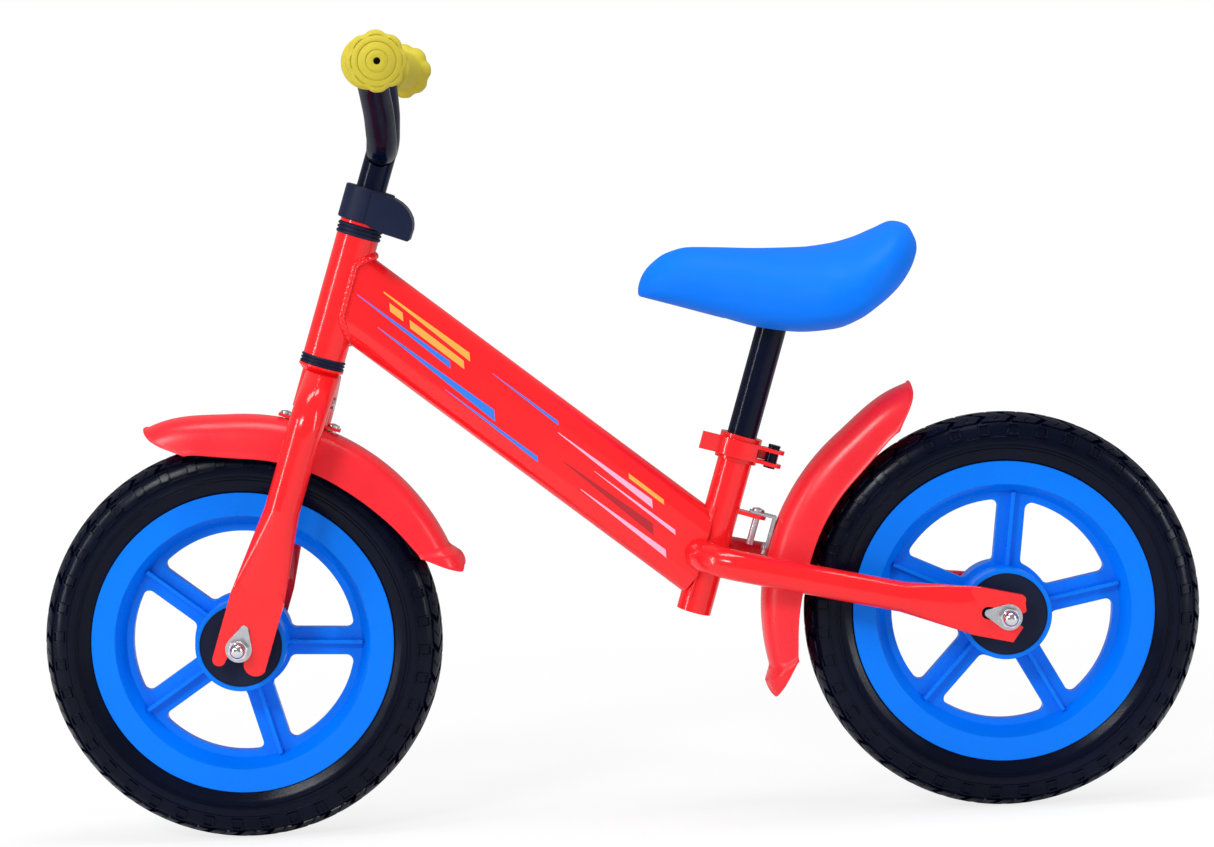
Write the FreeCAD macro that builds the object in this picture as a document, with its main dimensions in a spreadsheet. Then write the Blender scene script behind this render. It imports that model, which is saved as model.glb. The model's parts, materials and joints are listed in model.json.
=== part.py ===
import FreeCAD, Part

import math
import os

import Sketcher

# Balance bike, millimetres. +Z is up, the front wheel is towards -X, the rider's left side is -Y.
# The origin lies on the ground, midway between the two axles.

Vector = FreeCAD.Vector
doc = FreeCAD.newDocument("BalanceBike")

# ---------------------------------------------------------------- driving dimensions
DIMENSIONS = (
    ("wheelbase", 555, "between the two axles"),
    ("tyre_diameter", 290, "outside of the tread"),
    ("tyre_width", 45, "widest part of the tyre"),
    ("rim_diameter", 220, "outer edge of the rim flanges"),
    ("rim_width", 35, "over the two flanges"),
    ("rim_flange", 2.9, "thickness of a flange"),
    ("rim_channel_depth", 10, "flange edge down to the tyre seat"),
    ("rim_face_height", 17, "visible height of a flange face"),
    ("web_radius", 86, "where the rim wall meets the spoke web"),
    ("web_thickness", 9, "spoke plates"),
    ("window_outer_radius", 81, "openings between the spokes, outer arc"),
    ("window_inner_radius", 36, "openings between the spokes, inner arc"),
    ("window_corner", 5, "corner radius of the openings"),
    ("spoke_width", 20, "flat plate of one spoke"),
    ("spoke_rib_width", 3, "raised rib along a spoke"),
    ("spoke_rib_height", 5.5, "rib above the plate"),
    ("spoke_count", 5, "spokes in a wheel"),
    ("front_spoke_angle", -2.5, "first front spoke above the rearward direction, degrees"),
    ("rear_spoke_angle", 11, "first rear spoke above the rearward direction, degrees"),
    ("boss_radius", 33, "ring around the hub cap"),
    ("boss_wall", 3.2, "wall of that ring"),
    ("hub_width", 66, "over the two boss rings"),
    ("cap_thickness", 2.4, "face of a hub cap"),
    ("cap_recess", 0.8, "cap face below the boss edge"),
    ("cap_skirt_depth", 9, "depth of the cap's skirt"),
    ("cap_skirt_wall", 1.6, "wall of the cap's skirt"),
    ("cap_hole_clearance", 1, "cap around the axle spacer"),
    ("bearing_bore", 8, "bore of a hub bearing"),
    ("bearing_outside", 22, "outside of a hub bearing"),
    ("bearing_width", 7, "width of a hub bearing"),
    ("bearing_spacing", 52, "over the two bearings"),
    ("bearing_shoulder", 2.5, "step that a bearing seats against"),
    ("bearing_ball", 3.97, "ball of a hub bearing"),
    ("bearing_ball_count", 7, "balls in a hub bearing"),
    ("hub_tube_wall", 5, "plastic around the bearings"),
    ("axle_play", 0.03, "radial clearance on the axles"),
    ("spacer_outside", 12, "axle spacer"),
    ("dropout_inner_width", 87, "between the inner faces of the flattened tube ends"),
    ("dropout_thickness", 5, "flattened tube end"),
    ("axle_overhang", 62, "axle end from the middle"),
    ("washer_thickness", 1.6, "tab washer"),
    ("washer_radius", 9.5, "tab washer, round end"),
    ("washer_tab", 18, "tab tip from the axle"),
    ("nut_flats", 13, "axle nut, across flats"),
    ("nut_height", 6.5, "hex part of the nut"),
    ("nut_dome_radius", 4.9, "domed end of the nut"),
    ("head_angle", 18.3, "steering axis from vertical, degrees"),
    ("head_tube_start", 216, "lower end of the head tube from the front axle"),
    ("head_tube_length", 91, "head tube"),
    ("head_tube_outside", 31, "head tube"),
    ("head_tube_wall", 1.6, "head tube"),
    ("lower_cup_height", 7, "visible part of the lower cup"),
    ("upper_cup_height", 8.5, "visible part of the upper cup"),
    ("cup_outside", 33, "headset cups"),
    ("cup_insert_depth", 12, "cup sleeve inside the head tube"),
    ("lock_ring_height", 2.2, "ring above the upper cup"),
    ("steerer_outside", 25.4, "steerer tube"),
    ("steerer_end", 176, "lower end of the steerer from the front axle"),
    ("steerer_above_ring", 23, "steerer above the lock ring"),
    ("sliding_play", 0.08, "radial clearance of posts and bushes"),
    ("post_outside", 22, "handlebar post and seat post"),
    ("post_wall", 1.8, "handlebar post and seat post"),
    ("crown_flange_height", 4.5, "flange under the lower cup"),
    ("fork_leg_outside", 25.4, "round part of a fork leg"),
    ("fork_leg_offset", 46, "leg centre from the middle plane"),
    ("fork_leg_setback", 3, "leg centre behind the steering axis"),
    ("fork_taper_top", 105, "round leg starts to flatten, above the axle"),
    ("fork_taper_end", 40, "flat part of the leg starts, above the axle"),
    ("fork_shoulder", 160, "leg starts to bend inwards, above the axle"),
    ("fork_shoulder_radius", 32, "inward bend"),
    ("fork_shoulder_angle", 55, "inward bend, degrees"),
    ("fork_plate_width", 39, "flattened leg"),
    ("fork_lobe_drop", 14, "ends of the lobes below the axle"),
    ("fork_slot_width", 8.6, "axle slot"),
    ("fork_slot_top", 17, "upper end of the axle slot above the axle"),
    ("main_tube_height", 61, "flat-oval main tube"),
    ("main_tube_width", 30, "flat-oval main tube"),
    ("main_tube_wall", 1.6, "flat-oval main tube"),
    ("main_tube_head_joint", 268.5, "main tube on the steering axis, from the front axle"),
    ("main_tube_seat_joint", 40.2, "main tube on the seat tube, from its foot"),
    ("main_tube_end_gap", 5, "end of the main tube before the seat tube's axis"),
    ("seat_tube_to_rear_axle", 225.6, "foot of the seat tube ahead of the rear axle"),
    ("seat_tube_foot_z", 152.5, "foot of the seat tube"),
    ("seat_angle", 17.5, "seat tube from vertical, degrees"),
    ("seat_tube_length", 134, "seat tube with its collar"),
    ("seat_tube_outside", 25.4, "seat tube"),
    ("seat_slot_width", 3, "slot that lets the collar close the tube"),
    ("seat_slot_length", 34, "slot from the top of the tube"),
    ("stay_angle", 13, "chain stays from level, degrees"),
    ("stay_outside", 22, "chain stay"),
    ("stay_offset", 46, "stay centre from the middle plane"),
    ("stay_front_reach", 226, "front end of the stay loop from the rear axle"),
    ("stay_bend_radius", 32, "front bend of a stay"),
    ("stay_taper_start", 78, "stay starts to flatten, from the rear axle"),
    ("stay_taper_end", 24, "flat part of the stay, from the rear axle"),
    ("stay_plate_height", 35, "flattened end of a stay"),
    ("stay_plate_end", 11.5, "rear end of the plate behind the axle"),
    ("stay_slot_height", 9, "axle slot"),
    ("stay_slot_front", 20, "front end of the axle slot before the axle"),
    ("tab_height_on_tube", 78, "strap tab on the seat tube"),
    ("tab_length", 33, "end of the tab from the seat tube's axis"),
    ("tab_width", 15, "strap tab"),
    ("tab_thickness", 3, "strap tab"),
    ("tab_hole", 26.3, "bolt hole from the seat tube's axis"),
    ("strap_thickness", 2, "zinc strap and fork bracket"),
    ("strap_width", 12, "zinc strap and fork bracket"),
    ("strap_bolt_drop", 20, "strap's bolt in the fender below the tab"),
    ("strap_drop", 27, "strap's leg below the tab"),
    ("bolt_diameter", 5, "small bolts"),
    ("bolt_head_diameter", 9, "small bolts"),
    ("bolt_head_height", 3, "small bolts"),
    ("bolt_play", 0.1, "radial clearance of small bolts"),
    ("fender_wall", 1.8, "mudguard plastic"),
    ("fender_width", 57, "over the mudguard's sides"),
    ("fender_depth", 30, "crown to lips"),
    ("fender_edge_radius", 15, "rounding from crown to side"),
    ("front_fender_radius", 166, "crown of the front mudguard"),
    ("front_fender_start", 15, "rear end, degrees above level"),
    ("front_fender_end", 112.5, "nose, degrees above level"),
    ("rear_fender_radius", 168, "crown of the rear mudguard"),
    ("rear_fender_lead", 9, "its centre up and forward of the rear axle"),
    ("rear_fender_lead_angle", 150, "direction of that offset, degrees"),
    ("rear_fender_start", 109.6, "nose, degrees above level"),
    ("rear_fender_end", 199, "lower end, degrees above level"),
    ("fender_nose_sweep", 7, "nose ahead of the side corners, degrees"),
    ("bracket_bolt_height", 185, "bracket's bolt in the steerer, from the front axle"),
    ("bracket_front_bolt", 15, "bracket's bolt ahead of the steering axis"),
    ("bracket_rear_bolt", 20.5, "bracket's bolt behind the steering axis"),
    ("collar_height", 19, "seat clamp collar"),
    ("collar_wall", 2.8, "seat clamp collar"),
    ("lug_reach", 29.5, "ends of the collar's lugs behind the seat tube's axis"),
    ("lug_thickness", 4, "one lug"),
    ("lug_gap", 2.4, "between the lugs"),
    ("lug_height", 7, "collar's lugs"),
    ("barrel_setback", 24.4, "lever pivot behind the seat tube's axis"),
    ("barrel_side", 10.5, "lever pivot beside the middle plane"),
    ("barrel_diameter", 8.6, "lever pivot"),
    ("barrel_overhang", 1.5, "lever pivot beyond the lever's edges"),
    ("clamp_nut_height", 4, "nut of the seat clamp"),
    ("clamp_bolt_end", 2, "seat clamp bolt beyond its nut"),
    ("lever_height", 12.8, "quick-release lever"),
    ("lever_thickness", 3, "quick-release lever"),
    ("lever_gap", 1.6, "lever outside the collar"),
    ("lever_slot", 7.2, "gap between the lever's two prongs"),
    ("lever_tab_reach", 29, "finger tab ahead of the seat tube's axis"),
    ("lever_wrap_angle", 35, "front end of the wrap round the collar, beside its front, degrees"),
    ("lever_tab_offset", 5, "finger tab outside the wrap"),
    ("lever_back_bulge", 2, "lever's outer face fuller towards the pivot"),
    ("seat_post_above_collar", 92.2, "collar to the plate inside the saddle"),
    ("seat_post_insertion", 85, "seat post inside the seat tube"),
    ("saddle_length", 203, "nose to tail"),
    ("saddle_width", 144, "widest part"),
    ("saddle_plate_length", 60, "steel plate on the seat post"),
    ("saddle_plate_width", 40, "steel plate on the seat post"),
    ("saddle_plate_thickness", 2.5, "steel plate on the seat post"),
    ("saddle_nose_reach", 99.4, "nose ahead of the top of the seat post"),
    ("saddle_base_length", 76, "plastic base in the saddle"),
    ("saddle_base_width", 40, "plastic base in the saddle"),
    ("saddle_base_thickness", 6, "plastic base in the saddle"),
    ("soft_gap", 0.3, "soft pieces from their neighbours"),
    ("bar_clamp_height", 20, "steel collar inside the clamp cover"),
    ("bar_clamp_wall", 3, "steel collar inside the clamp cover"),
    ("cover_radius", 18.5, "front of the clamp cover"),
    ("cover_height", 25, "clamp cover"),
    ("cover_reach", 35.5, "back of the clamp cover behind the steering axis"),
    ("cover_block_width", 36, "back of the clamp cover"),
    ("cover_drop", 4, "back of the cover below its front"),
    ("cover_wall", 1.6, "clamp cover"),
    ("bar_rise_start", 371, "middle of the bar from the front axle, along the steering axis"),
    ("bar_outside", 22, "handlebar tube"),
    ("bar_wall", 1.8, "handlebar tube"),
    ("bar_middle", 20, "first bend from the middle plane"),
    ("bar_shoulder", 88, "second bend from the middle plane"),
    ("bar_shoulder_rise", 62.5, "second bend above the first"),
    ("bar_shoulder_lead", 3, "second bend ahead of the first"),
    ("bar_half_width", 196, "end of the bar from the middle plane"),
    ("bar_end_rise", 61, "end of the bar above its middle"),
    ("bar_end_sweep", 10, "end of the bar behind its middle"),
    ("bar_bend_radius", 38, "bends of the bar"),
    ("post_insertion", 110, "handlebar post inside the steerer"),
    ("grip_length", 97, "rubber grip"),
    ("grip_radius", 14.5, "rubber grip"),
    ("grip_guard_radius", 19, "inner flange of a grip"),
    ("grip_guard_width", 6, "inner flange of a grip"),
    ("grip_knob_radius", 21, "outer end of a grip"),
    ("grip_knob_width", 13, "outer end of a grip"),
    ("grip_end_wall", 5, "closed end of a grip"),
    ("grip_end_hole", 4.8, "hole in the end of a grip"),
)


class Size:
    """A length or angle with the sheet expression that gives it."""

    def __init__(self, value, text):
        self.value = float(value)
        self.text = text

    def __add__(self, other):
        other = as_size(other)
        return Size(self.value + other.value, f"({self.text} + {other.text})")

    def __radd__(self, other):
        return as_size(other) + self

    def __sub__(self, other):
        other = as_size(other)
        return Size(self.value - other.value, f"({self.text} - {other.text})")

    def __rsub__(self, other):
        return as_size(other) - self

    def __mul__(self, other):
        other = as_size(other)
        return Size(self.value * other.value, f"({self.text} * {other.text})")

    def __rmul__(self, other):
        return as_size(other) * self

    def __truediv__(self, other):
        other = as_size(other)
        return Size(self.value / other.value, f"({self.text} / {other.text})")

    def __rtruediv__(self, other):
        return as_size(other) / self

    def __neg__(self):
        return as_size(0) - self

    def __float__(self):
        return self.value


def as_size(number):
    if isinstance(number, Size):
        return number
    return Size(number, f"({float(number):.6f})" if number < 0 else f"{float(number):.6f}")


def sine(angle):
    return Size(math.sin(math.radians(angle.value)), f"sin({angle.text} * 1 deg)")


def cosine(angle):
    return Size(math.cos(math.radians(angle.value)), f"cos({angle.text} * 1 deg)")


def root(square):
    return Size(math.sqrt(square.value), f"sqrt({square.text})")


class Sheet:
    """The spreadsheet of driving dimensions; each alias is an attribute that holds a Size."""

    def __init__(self, rows):
        table = doc.addObject("Spreadsheet::Sheet", "Dimensions")
        for row, (alias, number, note) in enumerate(rows, start=1):
            table.set(f"A{row}", note)
            table.set(f"B{row}", str(number))
            table.setAlias(f"B{row}", alias)
        doc.recompute()
        for alias, _, _ in rows:
            setattr(self, alias, Size(table.get(alias), f"Dimensions.{alias}"))


size = Sheet(DIMENSIONS)

# ---------------------------------------------------------------- places worked out from the dimensions
axle_height = size.tyre_diameter / 2
front_axle_x = -size.wheelbase / 2
rear_axle_x = size.wheelbase / 2
seat_foot_x = rear_axle_x - size.seat_tube_to_rear_axle


def placed(x, z, tilt=0.0):
    """A frame at (x, 0, z), leaning back by tilt degrees about the Y axis."""
    return FreeCAD.Placement(Vector(float(x), 0, float(z)), FreeCAD.Rotation(Vector(0, 1, 0), float(tilt)))


FRONT_WHEEL = placed(front_axle_x, axle_height)
REAR_WHEEL = placed(rear_axle_x, axle_height)
STEERING = placed(front_axle_x, axle_height, size.head_angle)
SEAT_TUBE = placed(seat_foot_x, size.seat_tube_foot_z, size.seat_angle)
STAYS = placed(rear_axle_x, axle_height, size.stay_angle)
STAYS_END = STAYS.multiply(FreeCAD.Placement(Vector(), FreeCAD.Rotation(Vector(0, 1, 0), -90)))

head_joint_x = front_axle_x + size.main_tube_head_joint * sine(size.head_angle)
head_joint_z = axle_height + size.main_tube_head_joint * cosine(size.head_angle)
seat_joint_x = seat_foot_x + size.main_tube_seat_joint * sine(size.seat_angle)
seat_joint_z = size.seat_tube_foot_z + size.main_tube_seat_joint * cosine(size.seat_angle)
main_run = seat_joint_x - head_joint_x
main_drop = head_joint_z - seat_joint_z
main_tube_span = root(main_run * main_run + main_drop * main_drop)
main_tube_slope = math.degrees(math.atan2(main_drop.value, main_run.value))
MAIN_TUBE = placed(head_joint_x, head_joint_z, 90 + main_tube_slope)

# heights along the steering axis, from the front axle
head_tube_top = size.head_tube_start + size.head_tube_length
upper_cup_top = head_tube_top + size.upper_cup_height
lock_ring_top = upper_cup_top + size.lock_ring_height
steerer_top = lock_ring_top + size.steerer_above_ring
crown_top = size.head_tube_start - size.lower_cup_height
crown_base = crown_top - size.crown_flange_height

steerer_radius = size.steerer_outside / 2
post_radius = size.post_outside / 2
post_bore = post_radius + size.sliding_play
axle_radius = size.bearing_bore / 2
dropout_inner = size.dropout_inner_width / 2
dropout_outer = dropout_inner + size.dropout_thickness
washer_outer = dropout_outer + size.washer_thickness
bolt_radius = size.bolt_diameter / 2
bolt_hole_radius = bolt_radius + size.bolt_play
seat_tube_radius = size.seat_tube_outside / 2

parts = {}


# ---------------------------------------------------------------- tools shared by the sub-parts
def keep(label, shape_object):
    """Names a finished sub-part."""
    shape_object.Label = label
    parts[label] = shape_object
    return shape_object


def bind(owner, path, amount):
    """Ties a property or constraint to the sheet."""
    owner.setExpression(path, as_size(amount).text)


def new_body(name, frame):
    body = doc.addObject("PartDesign::Body", name)
    body.Placement = frame
    return body


def origin_feature(body, role):
    return next(feature for feature in body.Origin.OriginFeatures if feature.Role == role)


def new_sketch(body, plane, name, lift=0):
    """A sketch on one of the body's own planes, lift above it."""
    sketch = body.newObject("Sketcher::SketchObject", name)
    sketch.AttachmentSupport = (origin_feature(body, plane), [""])
    sketch.MapMode = "FlatFace"
    sketch.AttachmentOffset = FreeCAD.Placement(Vector(0, 0, float(lift)), FreeCAD.Rotation())
    if isinstance(lift, Size):
        bind(sketch, "AttachmentOffset.Base.z", lift)
    return sketch


def fix_point(sketch, geometry, position, x, y):
    """Holds a point of the sketch at x, y from its origin."""
    for kind, amount in (("DistanceX", x), ("DistanceY", y)):
        index = sketch.addConstraint(
            Sketcher.Constraint(kind, -1, 1, geometry, position, float(amount)))
        if isinstance(amount, Size):
            bind(sketch, f"Constraints[{index}]", amount)


def upward_arc(first, through, last, forward):
    """The arc through three points, run anticlockwise as sketches keep it."""
    centre = Part.Arc(first, through, last).toShape().Curve.Center
    begin, finish = (first, last) if forward else (last, first)
    start_angle = math.atan2(begin.y - centre.y, begin.x - centre.x)
    end_angle = math.atan2(finish.y - centre.y, finish.x - centre.x)
    if end_angle <= start_angle:
        end_angle += 2 * math.pi
    circle = Part.Circle(centre, Vector(0, 0, 1), centre.distanceToPoint(first))
    return Part.ArcOfCircle(circle, start_angle, end_angle)


def draw_path(sketch, corners, closed=True):
    """Lines and arcs through corners. A corner is (x, y), or (x, y, through_x, through_y) where an
    arc arrives at it."""
    pairs = list(zip([corners[-1]] + list(corners[:-1]), corners)) if closed else list(
        zip(corners[:-1], corners[1:]))
    ends = []
    for start, end in pairs:
        first = Vector(float(start[0]), float(start[1]), 0)
        last = Vector(float(end[0]), float(end[1]), 0)
        if len(end) == 2:
            ends.append((sketch.addGeometry(Part.LineSegment(first, last), False), 1, 2))
            continue
        through = Vector(float(end[2]), float(end[3]), 0)
        forward = (through - first).cross(last - through).z > 0
        index = sketch.addGeometry(upward_arc(first, through, last, forward), False)
        ends.append((index, 1, 2) if forward else (index, 2, 1))
        mark = sketch.addGeometry(Part.Point(through), True)
        fix_point(sketch, mark, 1, end[2], end[3])
        sketch.addConstraint(Sketcher.Constraint("PointOnObject", mark, 1, index))
    for (before, _, before_end), (after, after_start, _) in zip(ends[:-1], ends[1:]):
        sketch.addConstraint(Sketcher.Constraint("Coincident", before, before_end, after, after_start))
    if closed:
        sketch.addConstraint(
            Sketcher.Constraint("Coincident", ends[-1][0], ends[-1][2], ends[0][0], ends[0][1]))
    else:
        fix_point(sketch, ends[0][0], ends[0][1], *corners[0][:2])
    for (index, _, finish), (_, end) in zip(ends, pairs):
        fix_point(sketch, index, finish, end[0], end[1])
    return sketch


def draw_circle(sketch, radius, x=0, y=0):
    index = sketch.addGeometry(
        Part.Circle(Vector(float(x), float(y), 0), Vector(0, 0, 1), float(radius)), False)
    fix_point(sketch, index, 3, x, y)
    constraint = sketch.addConstraint(Sketcher.Constraint("Radius", index, float(radius)))
    bind(sketch, f"Constraints[{constraint}]", radius)
    return sketch


def draw_ellipse(sketch, half_x, half_y, x=0, y=0):
    """An ellipse with its axes along x and y."""
    long_is_x = float(half_x) >= float(half_y)
    major, minor = (half_x, half_y) if long_is_x else (half_y, half_x)
    centre = Vector(float(x), float(y), 0)
    tip = Vector(float(major), 0, 0) if long_is_x else Vector(0, float(major), 0)
    side = Vector(0, float(minor), 0) if long_is_x else Vector(float(minor), 0, 0)
    index = sketch.addGeometry(Part.Ellipse(centre + tip, centre + side, centre), False)
    fix_point(sketch, index, 3, x, y)
    for point, (dx, dy) in ((tip, (1, 0) if long_is_x else (0, 1)), (side, (0, 1) if long_is_x else (1, 0))):
        reach = major if point is tip else minor
        mark = sketch.addGeometry(Part.Point(centre + point), True)
        fix_point(sketch, mark, 1, x + reach * dx, y + reach * dy)
        sketch.addConstraint(Sketcher.Constraint("PointOnObject", mark, 1, index))
    return sketch


def pad(body, sketch, length, symmetric=False, backwards=False):
    feature = body.newObject("PartDesign::Pad", f"{sketch.Name}_pad")
    feature.Profile = sketch
    bind(feature, "Length", length)
    feature.SideType = "Symmetric" if symmetric else "One side"
    feature.Reversed = backwards
    return feature


def pocket_through(body, sketch):
    """Cuts the sketch right through the body, both ways."""
    feature = body.newObject("PartDesign::Pocket", f"{sketch.Name}_pocket")
    feature.Profile = sketch
    feature.SideType = "Symmetric"
    feature.Type = "ThroughAll"
    return feature


def revolve(body, sketch, axis, angle=360):
    feature = body.newObject("PartDesign::Revolution", f"{sketch.Name}_revolution")
    feature.Profile = sketch
    feature.ReferenceAxis = (origin_feature(body, axis), [""])
    bind(feature, "Angle", angle)
    return feature


def pattern_around(body, features, axis, count):
    feature = body.newObject("PartDesign::PolarPattern", f"{features[0].Name}_pattern")
    feature.Originals = features
    feature.Axis = (origin_feature(body, axis), [""])
    feature.Angle = 360
    bind(feature, "Occurrences", count)
    body.Tip = feature
    return feature


def edges_where(feature, test):
    """Names of the feature's edges that pass the test."""
    doc.recompute()
    return [f"Edge{i}" for i, edge in enumerate(feature.Shape.Edges, start=1) if test(edge)]


def fillet(body, feature, test, radius):
    names = edges_where(feature, test)
    rounded = body.newObject("PartDesign::Fillet", f"{feature.Name}_fillet")
    rounded.Base = (feature, names)
    bind(rounded, "Radius", radius)
    return rounded


def turned_body(name, frame, corners, axis="Y_Axis"):
    """A turned piece: its half section revolved about Y or Z."""
    body = new_body(name, frame)
    plane = "YZ_Plane" if axis == "Y_Axis" else "XZ_Plane"
    sketch = draw_path(new_sketch(body, plane, f"{name}_section"), corners)
    revolve(body, sketch, axis)
    return body


def sleeve(name, frame, outer, inner, start, end, axis="Z_Axis"):
    """A plain tube between two places along its axis."""
    if axis == "Y_Axis":
        corners = [(start, inner), (end, inner), (end, outer), (start, outer)]
    else:
        corners = [(inner, start), (outer, start), (outer, end), (inner, end)]
    return turned_body(name, frame, corners, axis)


def rod(name, frame, radius, start, end, axis="Z_Axis"):
    return sleeve(name, frame, radius, 0, start, end, axis)


def mirrored(source, frame):
    """The same piece on the other side of the bike's middle plane."""
    other = doc.addObject("Part::Mirroring", f"{source.Name}_mirrored")
    other.Source = source
    other.Base = frame.Base
    other.Normal = Vector(0, 1, 0)
    return other


def group(label, members):
    """Several separate solids kept as one node."""
    compound = doc.addObject("Part::Compound", f"{label}_group")
    compound.Links = members
    return keep(label, compound)


def cut(label, base, tools):
    """The base with the tools taken away."""
    if len(tools) == 1:
        tool = tools[0]
    else:
        tool = doc.addObject("Part::MultiFuse", f"{label}_tools")
        tool.Shapes = tools
    result = doc.addObject("Part::Cut", f"{label}_cut")
    result.Base = base
    result.Tool = tool
    return keep(label, result)


def cylinder(name, frame, radius, start, length, direction="z", offset=(0, 0)):
    """A cutting cylinder along the frame's x, y or z axis, offset in the other two."""
    tool = doc.addObject("Part::Cylinder", name)
    bind(tool, "Radius", radius)
    bind(tool, "Height", length)
    turn = {"x": FreeCAD.Rotation(Vector(0, 1, 0), 90), "y": FreeCAD.Rotation(Vector(1, 0, 0), -90),
            "z": FreeCAD.Rotation()}[direction]
    first, second = float(offset[0]), float(offset[1])
    base = {"x": Vector(float(start), first, second), "y": Vector(first, float(start), second),
            "z": Vector(first, second, float(start))}[direction]
    tool.Placement = frame.multiply(FreeCAD.Placement(base, turn))
    return tool


# ---------------------------------------------------------------- wheels
def tyre(name, frame):
    """Solid foam tyre: seat in the rim channel, bulging sides, rounded crown."""
    rim_edge = size.rim_diameter / 2
    seat = rim_edge - size.rim_channel_depth
    seat_half = size.rim_width / 2 - size.rim_flange
    flange_half = size.rim_width / 2
    crown = axle_height
    side = size.tyre_width / 2
    widest = rim_edge + (crown - rim_edge) * 0.45
    shoulder = crown - (crown - rim_edge) * 0.24
    shoulder_half = side - 1.2
    body = turned_body(name, frame, [
        (-seat_half, seat), (seat_half, seat), (seat_half, rim_edge), (flange_half, rim_edge),
        (shoulder_half, shoulder, side, widest),
        (0, crown, side * 0.62, crown - 2.4),
        (-shoulder_half, shoulder, -side * 0.62, crown - 2.4),
        (-flange_half, rim_edge, -side, widest),
        (-seat_half, rim_edge)])
    return keep(name, body)


def is_window_corner(edge):
    """Straight edges across the web, at the inner or outer arc of a window."""
    first, last = edge.Vertexes[0].Point, edge.Vertexes[-1].Point
    if abs(abs(last.y - first.y) - size.web_thickness.value) > 0.01:
        return False
    radius = math.hypot(first.x, first.z)
    arcs = (size.window_inner_radius.value, size.window_outer_radius.value)
    return any(abs(radius - arc) < 0.01 for arc in arcs)


def rim(name, frame, first_spoke):
    """One-piece plastic wheel: rim channel, web with five spokes, boss rings, bearing seats."""
    frame = frame.multiply(FreeCAD.Placement(Vector(), FreeCAD.Rotation(Vector(0, 1, 0), -first_spoke.value)))
    body = new_body(name, frame)
    flange_half = size.rim_width / 2
    channel_half = flange_half - size.rim_flange
    edge = size.rim_diameter / 2
    channel = edge - size.rim_channel_depth
    face = edge - size.rim_face_height
    web = size.web_thickness / 2
    boss_half = size.hub_width / 2
    boss_inner = size.boss_radius - size.boss_wall
    seat_half = size.bearing_spacing / 2
    seat = size.bearing_outside / 2
    tube = seat + size.hub_tube_wall
    shoulder_half = seat_half - size.bearing_width
    bore = seat - size.bearing_shoulder
    side = [(seat_half, seat), (seat_half, tube), (web, tube), (web, boss_inner), (boss_half, boss_inner),
            (boss_half, size.boss_radius), (web, size.boss_radius), (web, size.web_radius),
            (flange_half, face), (flange_half, edge), (channel_half, edge), (channel_half, channel)]
    inside = [(shoulder_half, bore), (shoulder_half, seat)]
    corners = inside + side
    corners += [(-y, radius) for y, radius in reversed(side)]
    corners += [(-y, radius) for y, radius in reversed(inside)]
    revolve(body, draw_path(new_sketch(body, "YZ_Plane", f"{name}_section"), corners), "Y_Axis")

    half_pitch = 180 / size.spoke_count
    half_spoke = size.spoke_width / 2

    def corner(radius, side_sign):
        along = root(radius * radius - half_spoke * half_spoke)
        x = along * cosine(half_pitch) + half_spoke * sine(half_pitch)
        z = along * sine(half_pitch) - half_spoke * cosine(half_pitch)
        return x, z * side_sign

    inner, outer = size.window_inner_radius, size.window_outer_radius
    opening = new_sketch(body, "XZ_Plane", f"{name}_window")
    opening.AttachmentOffset = FreeCAD.Placement(
        Vector(), FreeCAD.Rotation(Vector(0, 0, 1), half_pitch.value))
    bind(opening, "AttachmentOffset.Rotation.Angle", half_pitch)
    draw_path(opening, [(*corner(inner, -1), inner, 0), corner(outer, -1), (*corner(outer, 1), outer, 0),
                        corner(inner, 1)])
    window = pocket_through(body, opening)
    windows = pattern_around(body, [window], "Y_Axis", size.spoke_count)
    fillet(body, windows, is_window_corner, size.window_corner)

    rib_sketch = new_sketch(body, "XZ_Plane", f"{name}_rib")
    half_rib = size.spoke_rib_width / 2
    rib_start = size.boss_radius - size.boss_wall / 2
    rib_end = size.web_radius + 1
    draw_path(rib_sketch, [(rib_start, -half_rib), (rib_end, -half_rib), (rib_end, half_rib),
                           (rib_start, half_rib)])
    rib = pad(body, rib_sketch, size.web_thickness + size.spoke_rib_height * 2, symmetric=True)
    pattern_around(body, [rib], "Y_Axis", size.spoke_count)
    return keep(name, body)


def hub_caps(name, frame):
    """Two black caps that close the recesses around the bearings."""
    recess_radius = size.boss_radius - size.boss_wall
    face_outer = size.hub_width / 2 - size.cap_recess
    face_inner = face_outer - size.cap_thickness
    skirt_end = face_outer - size.cap_skirt_depth
    hole = size.spacer_outside / 2 + size.cap_hole_clearance
    cap = turned_body(f"{name}_right", frame, [
        (face_outer, hole), (face_outer, recess_radius), (skirt_end, recess_radius),
        (skirt_end, recess_radius - size.cap_skirt_wall), (face_inner, recess_radius - size.cap_skirt_wall),
        (face_inner, hole)])
    return group(name, [cap, mirrored(cap, frame)])


def bearing_race(name, frame, inner, outer, groove_on_outer):
    """One race of a hub bearing, with the groove that its balls run in."""
    outer_face = size.bearing_spacing / 2
    inner_face = outer_face - size.bearing_width
    middle = outer_face - size.bearing_width / 2
    ball = size.bearing_ball / 2
    track = (size.bearing_bore + size.bearing_outside) / 4
    groove_half = ball * 0.6
    if groove_on_outer:
        corners = [(inner_face, inner), (middle - groove_half, inner),
                   (middle + groove_half, inner, middle, track + ball + size.axle_play),
                   (outer_face, inner), (outer_face, outer), (inner_face, outer)]
    else:
        corners = [(inner_face, inner), (outer_face, inner), (outer_face, outer),
                   (middle + groove_half, outer),
                   (middle - groove_half, outer, middle, track - ball - size.axle_play),
                   (inner_face, outer)]
    return turned_body(name, frame, corners)


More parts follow.
